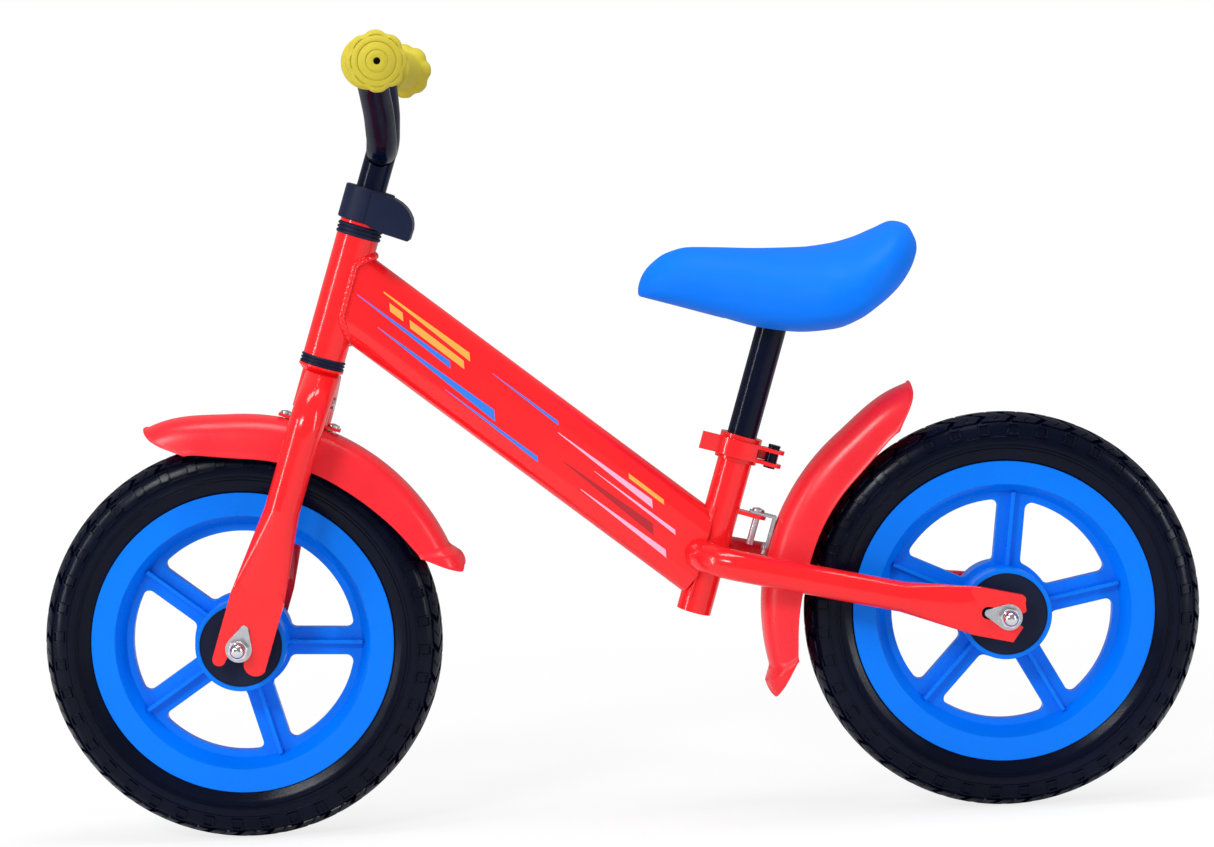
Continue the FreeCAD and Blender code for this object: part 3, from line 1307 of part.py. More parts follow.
def saddle_base():
    """Plastic plate that the soft cover is moulded around."""
    body = new_body("saddle_base_blank", SADDLE)
    plate = centred_box(body, "saddle_base_outline", size.saddle_plate_thickness, size.saddle_base_length,
                        size.saddle_base_width, size.saddle_base_thickness)
    fillet(body, plate, lambda edge: is_upright(edge), size.saddle_base_width / 4)
    holes = [cylinder(f"saddle_base_hole_{number}", SADDLE, bolt_radius, -1,
                      size.saddle_plate_thickness + size.saddle_base_thickness * 0.8, "z", place)
             for number, place in enumerate(screw_places())]
    return cut("saddle_base", body, holes)


def saddle_screws():
    reach = size.saddle_plate_thickness + size.saddle_base_thickness * 0.8 - 1.2
    return group("saddle_screws", [
        small_bolt(f"saddle_screw_{number}", SADDLE, 0, reach, "z", place)
        for number, place in enumerate(screw_places())])


def saddle_cover():
    """Moulded cover: a closed solid through level ovals, nose low and narrow, tail high and wide."""
    length = size.saddle_length
    wide = size.saddle_width / 2
    stations = (  # share of the length, half width, underside, top
        (0.00, 0.06, 16.5, 23.5), (0.04, 0.26, 14.0, 36.5), (0.113, 0.40, 10.0, 46.5),
        (0.187, 0.47, 5.5, 49.3), (0.28, 0.54, 0.0, 48.3), (0.45, 0.76, -10.5, 46.5),
        (0.586, 0.93, -14.5, 46.4), (0.69, 1.00, -13.0, 48.5), (0.773, 1.00, -7.5, 52.0),
        (0.847, 0.93, 2.0, 58.0), (0.916, 0.78, 13.5, 62.8), (0.966, 0.58, 26.5, 59.0),
        (1.00, 0.20, 39.5, 48.5))
    body = new_body("saddle_cover_blank", SADDLE)
    sections = []
    for number, (share, half_width, low, high) in enumerate(stations):
        station = new_sketch(body, "YZ_Plane", f"saddle_station_{number}",
                             length * share - size.saddle_nose_reach)
        sections.append(draw_ellipse(station, wide * half_width, as_size((high - low) / 2),
                                     as_size(0), as_size((high + low) / 2)))
    loft = body.newObject("PartDesign::AdditiveLoft", "saddle_cover_loft")
    loft.Profile = sections[0]
    loft.Sections = sections[1:]
    body.Tip = loft
    gap = size.soft_gap
    recess = doc.addObject("Part::Box", "saddle_recess")
    bind(recess, "Length", size.saddle_base_length + 2 * gap)
    bind(recess, "Width", size.saddle_base_width + 2 * gap)
    bind(recess, "Height", 60 + size.saddle_plate_thickness + size.saddle_base_thickness + gap)
    recess.Placement = SADDLE.multiply(FreeCAD.Placement(
        Vector(-size.saddle_base_length.value / 2 - gap.value, -size.saddle_base_width.value / 2 - gap.value,
               -60), FreeCAD.Rotation()))
    return cut("saddle_cover", body, [recess])


# ---------------------------------------------------------------- handlebar
bar_clamp_base = lock_ring_top + 1


def bar_clamp_collar():
    """Split steel collar that closes the steerer's top on the handlebar post."""
    body = new_body("bar_clamp_collar", STEERING)
    outer = steerer_radius + size.bar_clamp_wall
    gap = size.lug_gap / 2
    lug_outer = gap + size.lug_thickness
    ring = new_sketch(body, "XY_Plane", "bar_clamp_ring", bar_clamp_base)
    draw_circle(ring, outer)
    draw_circle(ring, steerer_radius)
    pad(body, ring, size.bar_clamp_height)
    lugs = new_sketch(body, "XY_Plane", "bar_clamp_lugs", bar_clamp_base)
    start = steerer_radius + size.bar_clamp_wall / 2
    reach = size.cover_reach - size.cover_wall - 4
    draw_path(lugs, [(start, -lug_outer), (reach, -lug_outer), (reach, lug_outer), (start, lug_outer)])
    pad(body, lugs, size.bar_clamp_height * 0.7)
    split = new_sketch(body, "XY_Plane", "bar_clamp_split")
    draw_path(split, [(steerer_radius - 1, -gap), (reach + 1, -gap), (reach + 1, gap),
                      (steerer_radius - 1, gap)])
    pocket_through(body, split)
    hole = cylinder("bar_clamp_hole", STEERING, bolt_hole_radius, -20, 40, "y",
                    (bar_bolt_place(), bar_clamp_base + size.bar_clamp_height * 0.35))
    return cut("bar_clamp_collar", body, [hole])


def bar_bolt_place():
    return (steerer_radius + size.bar_clamp_wall + size.cover_reach - size.cover_wall - 4) / 2


def bar_clamp_bolt():
    """Bolt and nut through the collar's lugs."""
    height = bar_clamp_base + size.bar_clamp_height * 0.35
    frame = STEERING.multiply(FreeCAD.Placement(
        Vector(bar_bolt_place().value, 0, height.value), FreeCAD.Rotation()))
    lug_outer = size.lug_gap / 2 + size.lug_thickness
    head = size.bolt_head_diameter / 2
    tall = size.bolt_head_height
    bolt = turned_body("bar_clamp_bolt_solid", frame, [
        (-lug_outer - tall, 0), (lug_outer + tall + 2, 0), (lug_outer + tall + 2, bolt_radius),
        (-lug_outer, bolt_radius), (-lug_outer, head), (-lug_outer - tall, head)])
    nut = sleeve("bar_clamp_nut_solid", frame, head, bolt_radius, lug_outer, lug_outer + tall, "Y_Axis")
    return group("bar_clamp_bolt", [bolt, nut])


def bar_clamp_cover():
    """Hollow plastic cover: round in front, a block with a rounded top behind."""
    body = new_body("bar_clamp_cover_shell", STEERING)
    wall = size.cover_wall
    base = lock_ring_top + 0.2
    top = base + size.cover_height
    reach = size.cover_reach
    drop = size.cover_drop
    hood = 9

    def outer_and_inner(inset, floor):
        ring = new_sketch(body, "XY_Plane", f"cover_ring_{inset.value:.0f}", floor)
        draw_circle(ring, size.cover_radius - inset)
        block = new_sketch(body, "XZ_Plane", f"cover_block_{inset.value:.0f}")
        low = floor - (drop if inset.value == 0 else drop + 1)
        draw_path(block, [(2.5, low), (reach - inset, low), (reach - inset, top - hood - 1),
                          (reach - hood, top - inset - 0.5, reach - inset - 2.5, top - inset - 4.0),
                          (2.5, top - inset)])
        return ring, block

    ring, block = outer_and_inner(as_size(0), base)
    pad(body, ring, size.cover_height)
    pad(body, block, size.cover_block_width, symmetric=True)
    ring_cut, block_cut = outer_and_inner(wall, base)
    hollow = body.newObject("PartDesign::Pocket", "cover_ring_hollow")
    hollow.Profile = ring_cut
    bind(hollow, "Length", size.cover_height - wall)
    hollow.Reversed = True
    hollow = body.newObject("PartDesign::Pocket", "cover_block_hollow")
    hollow.Profile = block_cut
    hollow.SideType = "Symmetric"
    bind(hollow, "Length", size.cover_block_width - 2 * wall)
    hole = new_sketch(body, "XY_Plane", "cover_hole", base - 20)
    draw_circle(hole, steerer_radius + 0.2)
    through = body.newObject("PartDesign::Pocket", "cover_hole_pocket")
    through.Profile = hole
    bind(through, "Length", size.cover_height + 30)
    through.Reversed = True
    return keep("bar_clamp_cover", body)


BAR = STEERING.multiply(FreeCAD.Placement(Vector(0, 0, size.bar_rise_start.value), FreeCAD.Rotation()))
BAR.Rotation = FreeCAD.Rotation()


def bar_points():
    """Corners of the bar's centre line from the left end to the right end."""
    right = [Vector(0, size.bar_middle.value, 0),
             Vector(-size.bar_shoulder_lead.value, size.bar_shoulder.value, size.bar_shoulder_rise.value),
             Vector(size.bar_end_sweep.value, size.bar_half_width.value, size.bar_end_rise.value)]
    left = [Vector(point.x, -point.y, point.z) for point in reversed(right)]
    return left + right


def rounded_wire(points, radius):
    """Straight runs joined by tangent arcs of one radius."""
    edges = []
    start = points[0]
    for before, corner, after in zip(points[:-2], points[1:-1], points[2:]):
        incoming = (corner - before).normalize()
        outgoing = (after - corner).normalize()
        half_turn = incoming.getAngle(outgoing) / 2
        setback = radius * math.tan(half_turn)
        arc_start = corner - incoming * setback
        arc_end = corner + outgoing * setback
        bisector = (outgoing - incoming).normalize()
        centre = corner + bisector * (radius / math.cos(half_turn))
        through = centre - bisector * radius
        edges.append(Part.LineSegment(start, arc_start).toShape())
        edges.append(Part.Arc(arc_start, through, arc_end).toShape())
        start = arc_end
    edges.append(Part.LineSegment(start, points[-1]).toShape())
    return Part.Wire(edges)


def bent_rod(points, bend, radius):
    """A round bar that follows the points."""
    wire = rounded_wire(points, bend)
    direction = (points[1] - points[0]).normalize()
    circle = Part.Wire(Part.Circle(points[0], direction, radius).toShape())
    return wire.makePipeShell([circle], True, True)


def handlebar_bar():
    """Bent steel tube in one plane per half; a space curve, so it is built from wires."""
    radius = size.bar_outside.value / 2
    points = bar_points()
    bend = size.bar_bend_radius.value
    outside = bent_rod(points, bend, radius)
    inside = bent_rod(points, bend, radius - size.bar_wall.value)
    tube = doc.addObject("Part::Feature", "handlebar_bar")
    tube.Shape = outside.cut(inside)
    tube.Placement = BAR
    return keep("handlebar_bar", tube)


def handlebar_post():
    """Steel tube from inside the steerer up to the bar, coped around it."""
    base = steerer_top - size.post_insertion
    tube = sleeve("handlebar_post_tube", STEERING, post_radius, post_radius - size.post_wall,
                  base, size.bar_rise_start)
    cope = cylinder("handlebar_post_cope", BAR, size.bar_outside / 2, -50, 100, "y")
    return cut("handlebar_post", tube, [cope])


def grip(name, side):
    """Rubber sleeve with a guard flange inside and a rounded knob that closes the bar's end."""
    end = bar_points()[-1 if side > 0 else 0]
    before = bar_points()[-2 if side > 0 else 1]
    outward = (end - before).normalize()
    rotation = FreeCAD.Rotation(Vector(0, 0, 1), outward)
    frame = BAR.multiply(FreeCAD.Placement(end, rotation))
    bore = size.bar_outside / 2
    guard = size.grip_guard_radius
    knob = size.grip_knob_radius
    body_radius = size.grip_radius
    start = size.grip_end_wall - size.grip_length
    guard_end = start + size.grip_guard_width
    knob_start = size.grip_end_wall - size.grip_knob_width
    top = size.grip_end_wall
    hole = size.grip_end_hole / 2
    return keep(name, turned_body(name, frame, [
        (bore, start), (guard - 1.5, start), (guard, start + 1.5), (guard, guard_end - 1.5),
        (guard - 1.5, guard_end), (body_radius, guard_end + 2), (body_radius, knob_start),
        (knob, knob_start + 4), (knob, top - 5), (hole, top, knob - 5, top - 1.2), (hole, 0), (bore, 0)],
        "Z_Axis"))


# ---------------------------------------------------------------- the whole bike
def build():
    wheel("front", FRONT_WHEEL, size.front_spoke_angle, STEERING)
    wheel("rear", REAR_WHEEL, size.rear_spoke_angle, STAYS_END)
    head_tube()
    headset_cup("upper_headset_cup", head_tube_top, upper_cup_top, head_tube_top - size.cup_insert_depth)
    headset_cup("lower_headset_cup", crown_top, size.head_tube_start,
                size.head_tube_start + size.cup_insert_depth)
    lock_ring()
    steerer()
    crown()
    fork_leg("left_fork_leg", -1)
    fork_leg("right_fork_leg", 1)
    main_tube()
    seat_tube()
    chain_stay("left_chain_stay", -1)
    chain_stay("right_chain_stay", 1)
    strap_tab()
    clamp_collar()
    clamp_hardware()
    clamp_lever()
    front_fender()
    rear_fender()
    front_bracket()
    front_fender_bolts()
    rear_strap()
    rear_fender_bolts()
    seat_post()
    seat_post_plate()
    saddle_base()
    saddle_screws()
    saddle_cover()
    bar_clamp_collar()
    bar_clamp_bolt()
    bar_clamp_cover()
    handlebar_bar()
    handlebar_post()
    grip("left_grip", -1)
    grip("right_grip", 1)


build()
doc.recompute()

failed = [item.Label for item in doc.Objects if "Invalid" in item.State or "Error" in item.State]
if failed:
    raise SystemExit(f"objects that did not build: {failed}")
for label, item in parts.items():
    if item.Shape.isNull() or not item.Shape.isValid():
        raise SystemExit(f"{label} has no valid shape")

os.makedirs("parts", exist_ok=True)
for label, item in parts.items():
    item.Shape.exportStep(f"parts/{label}.step")
    print(f"{label:28s} solids {len(item.Shape.Solids)}  volume {item.Shape.Volume:10.1f}")
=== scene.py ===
import json
import math

import bpy
import bmesh
import numpy as np
from mathutils import Matrix, Vector

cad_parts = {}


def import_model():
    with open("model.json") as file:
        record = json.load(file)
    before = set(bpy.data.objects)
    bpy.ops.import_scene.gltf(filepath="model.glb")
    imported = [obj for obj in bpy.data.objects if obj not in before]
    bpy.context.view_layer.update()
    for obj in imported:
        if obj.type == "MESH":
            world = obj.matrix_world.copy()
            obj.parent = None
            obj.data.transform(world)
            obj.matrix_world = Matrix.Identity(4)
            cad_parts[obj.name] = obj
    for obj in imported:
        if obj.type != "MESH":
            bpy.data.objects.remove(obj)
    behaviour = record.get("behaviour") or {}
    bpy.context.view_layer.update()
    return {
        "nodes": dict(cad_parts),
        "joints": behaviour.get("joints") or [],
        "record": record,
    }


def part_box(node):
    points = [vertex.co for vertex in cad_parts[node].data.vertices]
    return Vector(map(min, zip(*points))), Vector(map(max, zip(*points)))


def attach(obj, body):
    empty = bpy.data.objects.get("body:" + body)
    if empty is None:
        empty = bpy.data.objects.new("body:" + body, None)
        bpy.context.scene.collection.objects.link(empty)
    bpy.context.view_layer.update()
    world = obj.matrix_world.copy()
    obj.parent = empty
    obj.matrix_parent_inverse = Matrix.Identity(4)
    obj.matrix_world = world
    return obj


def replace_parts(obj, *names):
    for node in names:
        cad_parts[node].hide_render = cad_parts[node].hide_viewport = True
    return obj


# The looks of a balance bike. The front wheel is towards -X, the rider's left is -Y. Places from the
# frame and on the stage are in metres. Tables, profiles and named lengths are in millimetres.
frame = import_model()
nodes = frame["nodes"]
joints = {joint["name"]: joint for joint in frame["joints"]}
mounts = {mount["name"]: mount for mount in frame["record"]["mounts"]}

MM = 0.001
LEFT, RIGHT = -1, 1


# ---------------------------------------------------------------- places read from the frame
def upright_frame(point, axis):
    """Matrix with z along the axis and, unless the axis runs across the bike, y to the right."""
    z = Vector(axis).normalized()
    y = Vector((0, 1, 0)) if abs(z.y) < 0.7 else Vector((1, 0, 0))
    x = y.cross(z).normalized()
    y = z.cross(x)
    matrix = Matrix((x, y, z)).transposed().to_4x4()
    matrix.translation = Vector(point)
    return matrix


FRONT_AXLE = Vector(joints["front_wheel_spin"]["pos_m"])
REAR_AXLE = Vector(joints["rear_wheel_spin"]["pos_m"])
STEERING = upright_frame(FRONT_AXLE, joints["steering"]["axis"])
STEERING_AXIS = STEERING.to_3x3() @ Vector((0, 0, 1))
SEAT_AXIS = Vector(joints["seat_height"]["axis"])
TYRE_RADIUS = FRONT_AXLE.z / MM


def node_points(name):
    return np.array([vertex.co for vertex in nodes[name].data.vertices])


def span_along(matrix, name):
    """Lowest and highest place of a node along another frame's z, in mm."""
    inverse = np.array(matrix.inverted())
    heights = node_points(name) @ inverse[2, :3] + inverse[2, 3]
    return float(heights.min()) / MM, float(heights.max()) / MM


def bar_end(mount):
    """The bar's end inside a grip, and the direction out of it."""
    axis = Vector(mounts[mount]["axis"])
    depth = mounts[mount]["dims"]["length_mm"]
    return Vector(mounts[mount]["pos_m"]) - axis * depth / 2 * MM, axis


# ---------------------------------------------------------------- shape helpers
def smooth_curve(xs, ys, x):
    """Monotone cubic through the points."""
    xs, ys, x = np.asarray(xs, float), np.asarray(ys, float), np.asarray(x, float)
    steps = np.diff(xs)
    slopes = np.diff(ys) / steps
    tangents = np.empty_like(ys)
    tangents[1:-1] = np.where(slopes[:-1] * slopes[1:] > 0,
                              2 * slopes[:-1] * slopes[1:] / (slopes[:-1] + slopes[1:] + 1e-12), 0)
    tangents[0], tangents[-1] = slopes[0], slopes[-1]
    index = np.clip(np.searchsorted(xs, x) - 1, 0, len(steps) - 1)
    h = steps[index]
    t = np.clip((x - xs[index]) / h, 0, 1)
    return ((1 + 2 * t) * (1 - t) ** 2 * ys[index] + t * (1 - t) ** 2 * h * tangents[index]
            + t * t * (3 - 2 * t) * ys[index + 1] + t * t * (t - 1) * h * tangents[index + 1])


def step(low, high, x):
    """Smooth rise from 0 at low to 1 at high."""
    t = np.clip((np.asarray(x, float) - low) / (high - low), 0, 1)
    return t * t * (3 - 2 * t)


def between(value, limits):
    return limits[0] < value < limits[1]


def round_axle(axle, angle, radius, y):
    """A point on a circle round an axle, with the radius and y in mm."""
    return (axle.x + radius * MM * math.cos(angle), y * MM, axle.z + radius * MM * math.sin(angle))


def new_object(name, data):
    made = bpy.data.objects.new(name, data)
    bpy.context.scene.collection.objects.link(made)
    return made


def shade(piece, angle):
    """Smooth shading, with edges sharper than angle degrees left crisp."""
    mesh = piece.data
    mesh.polygons.foreach_set("use_smooth", [True] * len(mesh.polygons))
    mesh.set_sharp_from_angle(angle=math.radians(angle))


def mesh_piece(name, points, faces, body, slot, smooth=40):
    """A mesh piece that rides on a body, in the material of its slot."""
    mesh = bpy.data.meshes.new(name)
    mesh.from_pydata([tuple(point) for point in points], [], faces)
    work = bmesh.new()
    work.from_mesh(mesh)
    bmesh.ops.remove_doubles(work, verts=work.verts, dist=1e-7)
    bmesh.ops.recalc_face_normals(work, faces=work.faces)
    work.to_mesh(mesh)
    work.free()
    mesh.validate()
    piece = new_object(name, mesh)
    piece.data.materials.append(MATERIALS[slot])
    shade(piece, smooth)
    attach(piece, body)
    return piece


def grid_faces(rows, columns, close_rows=False, close_columns=False):
    """Quads of a grid whose point (row, column) is number row * columns + column."""
    faces = []
    for row in range(rows if close_rows else rows - 1):
        for column in range(columns if close_columns else columns - 1):
            next_row, next_column = (row + 1) % rows, (column + 1) % columns
            faces.append((row * columns + column, row * columns + next_column,
                          next_row * columns + next_column, next_row * columns + column))
    return faces


def end_faces(rows, columns):
    """The two faces that close the ends of a grid of rings."""
    return [tuple(range(columns)), tuple((rows - 1) * columns + k for k in range(columns))]


def turned(name, matrix, profile, body, slot, segments=96, shape=None, smooth=40):
    """A closed ring: profile of (radius, height) turned about z. shape(angle, radius, height) may
    return a changed radius and height."""
    points = []
    for i in range(segments):
        angle = 2 * math.pi * i / segments
        for radius, height in profile:
            r, h = shape(angle, radius, height) if shape else (radius, height)
            points.append(matrix @ (Vector((r * math.cos(angle), r * math.sin(angle), h)) * MM))
    faces = grid_faces(segments, len(profile), close_rows=True, close_columns=True)
    return mesh_piece(name, points, faces, body, slot, smooth)


END_SHARE = 0.15


def swept(name, centres, radius, body, slot, sides, closed, ripple=0.0, pitch=1.0):
    """A round cord along the centres. ripple swells it at each pitch, as a weld bead. An open cord
    narrows to END_SHARE at its two ends."""
    centres = [Vector(c) for c in centres]
    count = len(centres)
    lengths = [0.0]
    for a, b in zip(centres[:-1], centres[1:]):
        lengths.append(lengths[-1] + (b - a).length / MM)
    points = []
    side = None
    for i, centre in enumerate(centres):
        before = centres[i - 1] if closed or i else centre
        after = centres[(i + 1) % count] if closed or i < count - 1 else centre
        tangent = (after - before).normalized()
        if side is None:
            side = tangent.orthogonal().normalized()
        side = (side - tangent * side.dot(tangent)).normalized()
        other = tangent.cross(side)
        reach = radius * MM * (1 + ripple * math.sin(2 * math.pi * lengths[i] / pitch))
        if not closed and i in (0, count - 1):
            reach *= END_SHARE
        for k in range(sides):
            turn = 2 * math.pi * k / sides
            points.append(centre + (side * math.cos(turn) + other * math.sin(turn)) * reach)
    faces = grid_faces(count, sides, close_rows=closed, close_columns=True)
    if not closed:
        faces += end_faces(count, sides)
    return mesh_piece(name, points, faces, body, slot, 60)


def prism(name, matrix, outline, half_width, body, slot):
    """An outline in the matrix's x-z plane, given thickness both ways along y."""
    count = len(outline)
    points = [matrix @ (Vector((x, side * half_width, z)) * MM) for side in (LEFT, RIGHT) for x, z in outline]
    faces = end_faces(2, count)
    faces += [(k, (k + 1) % count, count + (k + 1) % count, count + k) for k in range(count)]
    return mesh_piece(name, points, faces, body, slot)


def combined(piece, tool, operation):
    """Joins the tool to the piece or cuts it out of the piece, and removes the tool."""
    modifier = piece.modifiers.new(operation.lower(), "BOOLEAN")
    modifier.operation = operation
    modifier.solver = "EXACT"
    modifier.object = tool
    bpy.context.view_layer.update()
    graph = bpy.context.evaluated_depsgraph_get()
    finished = bpy.data.meshes.new_from_object(piece.evaluated_get(graph))
    piece.modifiers.clear()
    piece.data = finished
    shade(piece, 60)
    bpy.data.objects.remove(tool)


def carve(piece, low, high):
    """Cuts an upright box out of the piece."""
    work = bmesh.new()
    bmesh.ops.create_cube(work, size=1)
    for vertex in work.verts:
        vertex.co = Vector((low[i] + (vertex.co[i] + 0.5) * (high[i] - low[i]) for i in range(3)))
    mesh = bpy.data.meshes.new("cutter")
    work.to_mesh(mesh)
    work.free()
    combined(piece, new_object("cutter", mesh), "DIFFERENCE")


# ---------------------------------------------------------------- material helpers
class Shader:
    """A Principled material and its node tree."""

    def __init__(self, name, colour, roughness, metallic=0.0, **sockets):
        self.material = bpy.data.materials.new(name)
        self.material.use_nodes = True
        self.tree = self.material.node_tree
        self.surface = self.tree.nodes["Principled BSDF"]
        self.surface.inputs["Base Color"].default_value = (*colour, 1)
        self.surface.inputs["Roughness"].default_value = roughness
        self.surface.inputs["Metallic"].default_value = metallic
        for socket, value in sockets.items():
            self.surface.inputs[socket.replace("_", " ")].default_value = value
        self.place = self.node("ShaderNodeTexCoord").outputs["Object"]
        self.colour = colour
        self.normal = None

    def node(self, kind, **values):
        made = self.tree.nodes.new(kind)
        for key, value in values.items():
            setattr(made, key, value)
        return made

    def link(self, source, target):
        self.tree.links.new(source, target)

    def maths(self, operation, *values):
        made = self.node("ShaderNodeMath", operation=operation)
        for socket, value in zip(made.inputs, values):
            if isinstance(value, (int, float)):
                socket.default_value = value
            else:
                self.link(value, socket)
        return made.outputs[0]

    def noise(self, scale, detail):
        made = self.node("ShaderNodeTexNoise")
        made.inputs["Scale"].default_value = scale
        made.inputs["Detail"].default_value = detail
        made.inputs["Roughness"].default_value = 0.5
        self.link(self.place, made.inputs["Vector"])
        return made.outputs["Fac"]

    def spread(self, value, low, high, first=0.3, last=0.7):
        """Maps first..last, where most noise lies, to low..high."""
        made = self.node("ShaderNodeMapRange")
        made.inputs["From Min"].default_value = first
        made.inputs["From Max"].default_value = last
        made.inputs["To Min"].default_value = low
        made.inputs["To Max"].default_value = high
        self.link(value, made.inputs["Value"])
        return made.outputs["Result"]

    def mix(self, amount, first, second):
        made = self.node("ShaderNodeMix", data_type="RGBA")
        self.link(amount, made.inputs["Factor"])
        for socket, value in ((made.inputs[6], first), (made.inputs[7], second)):
            if isinstance(value, tuple):
                socket.default_value = (*value, 1)
            else:
                self.link(value, socket)
        return made.outputs[2]

    def tone(self, scale, amount, base=None):
        """Lets the plain colour, or a base socket, drift a little darker over the surface."""
        drift = self.spread(self.noise(scale, 3), 0, 1)
        if base is None:
            dark = tuple(c * (1 - amount) for c in self.colour)
            mixed = self.mix(drift, self.colour, dark)
        else:
            mixed = self.mix(self.maths("MULTIPLY", drift, amount), base, (0.0, 0.0, 0.0))
        self.link(mixed, self.surface.inputs["Base Color"])

    def sheen_range(self, scale, low, high):
        self.link(self.spread(self.noise(scale, 4), low, high), self.surface.inputs["Roughness"])

    def soft_edges(self, radius):
        made = self.node("ShaderNodeBevel", samples=4)
        made.inputs["Radius"].default_value = radius * MM
        self.normal = made.outputs["Normal"]
        self.link(self.normal, self.surface.inputs["Normal"])

    def relief(self, height, depth):
        made = self.node("ShaderNodeBump")
        made.inputs["Strength"].default_value = 1.0
        made.inputs["Distance"].default_value = depth * MM
        self.link(height, made.inputs["Height"])
        if self.normal is not None:
            self.link(self.normal, made.inputs["Normal"])
        self.normal = made.outputs["Normal"]
        self.link(self.normal, self.surface.inputs["Normal"])


def enamel(name, colour, roughness=0.16, coat=0.25, gloss=0.3, bands=()):
    """Gloss paint on steel tube: faint orange peel under a clear coat, with optional bands."""
    paint = Shader(name, colour, roughness, Coat_Weight=coat, Coat_Roughness=0.05, Specular_IOR_Level=gloss)
    painted = None
    for *measures, tint in bands:
        painted = paint.mix(band(paint, *measures), painted or colour, tint)
    paint.tone(9, 0.06, painted)
    paint.sheen_range(30, roughness - 0.03, roughness + 0.06)
    paint.soft_edges(0.7)
    paint.relief(paint.noise(330, 1), 0.06)
    return paint.material


def moulded(name, colour, low, high, grain, depth, edge=0.6, drift=0.05, gloss=0.3):
    """Injection-moulded plastic or rubber: fine grain, roughness between low and high."""
    plastic = Shader(name, colour, (low + high) / 2, Specular_IOR_Level=gloss)
    plastic.tone(14, drift)
    plastic.sheen_range(45, low, high)
    plastic.soft_edges(edge)
    plastic.relief(plastic.noise(grain, 2), depth)
    return plastic.material


def plated(name, colour, low, high):
    """Zinc or chrome plate: slight clouding and a fine grain, roughness between low and high."""
    metal = Shader(name, colour, (low + high) / 2, metallic=1.0)
    metal.tone(60, 0.12)
    metal.sheen_range(220, low, high)
    metal.soft_edges(0.3)
    metal.relief(metal.noise(900, 2), 0.02)
    return metal.material


# ---------------------------------------------------------------- the main tube's stripes
def main_tube_frame():
    """The main tube's head end, the direction down it, and the direction up across it."""
    points = node_points("main_tube")
    head = points[points[:, 0] < points[:, 0].min() + 30 * MM].mean(0)
    flat = points[:, [0, 2]] - points[:, [0, 2]].mean(0)
    heading = np.linalg.svd(flat, full_matrices=False)[2][0]
    heading *= math.copysign(1, heading[0])
    run = Vector((heading[0], 0, heading[1]))
    middle = Vector(points.mean(0))
    start = middle + run * run.dot(Vector(head) - middle)
    return start, run, Vector((-heading[1], 0, heading[0]))


TUBE_START, TUBE_RUN, TUBE_UP = main_tube_frame()
STRIPE_SLANT = 0.9
STRIPE_BLUE = (0.03, 0.20, 0.74)
STRIPE_GOLD = (0.78, 0.40, 0.07)
STRIPE_PINK = (0.84, 0.42, 0.60)
STRIPE_DARK = (0.42, 0.010, 0.020)
STRIPES = (  # rise over the middle, half width, first end, last end, share that tapers, colour
    (14.5, 2.4, 14, 92, 0.8, STRIPE_GOLD),
    (8.5, 2.3, 24, 36, 0.0, STRIPE_GOLD),
    (7.5, 2.3, 43, 92, 0.0, STRIPE_GOLD),
    (1.5, 2.0, 0, 84, 0.9, STRIPE_BLUE),
    (-8.5, 3.2, 26, 132, 0.95, STRIPE_BLUE),
    (-15.0, 1.6, 92, 176, 0.9, STRIPE_BLUE),
    (15.0, 1.2, 112, 172, 0.9, STRIPE_BLUE),
    (9.5, 2.4, 176, 262, 0.9, STRIPE_PINK),
    (3.0, 1.4, 214, 288, 0.9, STRIPE_PINK),
    (-5.0, 3.4, 192, 274, 0.9, STRIPE_DARK),
    (-13.5, 2.2, 214, 292, 0.9, STRIPE_PINK),
    (15.5, 1.4, 236, 268, 0.0, STRIPE_GOLD))


def band(paint, rise, half_width, first, last, taper):
    """Mask of one slanted band along the flats of the main tube, measured from its head end. taper
    narrows the band towards its first end."""
    split = paint.node("ShaderNodeSeparateXYZ")
    paint.link(paint.place, split.inputs[0])
    x, z = split.outputs[0], split.outputs[2]

    def measured(direction):
        total = paint.maths("ADD", paint.maths("MULTIPLY", x, direction.x),
                            paint.maths("MULTIPLY", z, direction.z))
        return paint.maths("MULTIPLY", paint.maths("SUBTRACT", total, TUBE_START.dot(direction)), 1 / MM)

    offset = paint.maths("SUBTRACT", measured(TUBE_UP), rise)
    run = paint.maths("ADD", measured(TUBE_RUN), paint.maths("MULTIPLY", offset, STRIPE_SLANT))
    grown = paint.maths("MULTIPLY", paint.maths("SUBTRACT", run, first), 1 / (last - first))
    growth = paint.maths("MULTIPLY", grown, taper * half_width)
    width = paint.maths("ADD", growth, (1 - taper) * half_width)
    inside = paint.maths("LESS_THAN", paint.maths("ABSOLUTE", offset), width)
    begun = paint.maths("GREATER_THAN", run, first)
    not_over = paint.maths("LESS_THAN", run, last)
    return paint.maths("MULTIPLY", inside, paint.maths("MULTIPLY", begun, not_over))


# ---------------------------------------------------------------- materials
RED = (0.90, 0.012, 0.016)
FENDER_RED = (0.84, 0.020, 0.032)
RIM_BLUE = (0.0, 0.178, 0.86)
SADDLE_BLUE = (0.0, 0.165, 0.82)
GRIP_YELLOW = (0.532, 0.445, 0.038)
CUP_BLACK = (0.010, 0.015, 0.042)
TUBE_BLACK = (0.002, 0.004, 0.016)
TYRE_BLACK = (0.001, 0.003, 0.014)

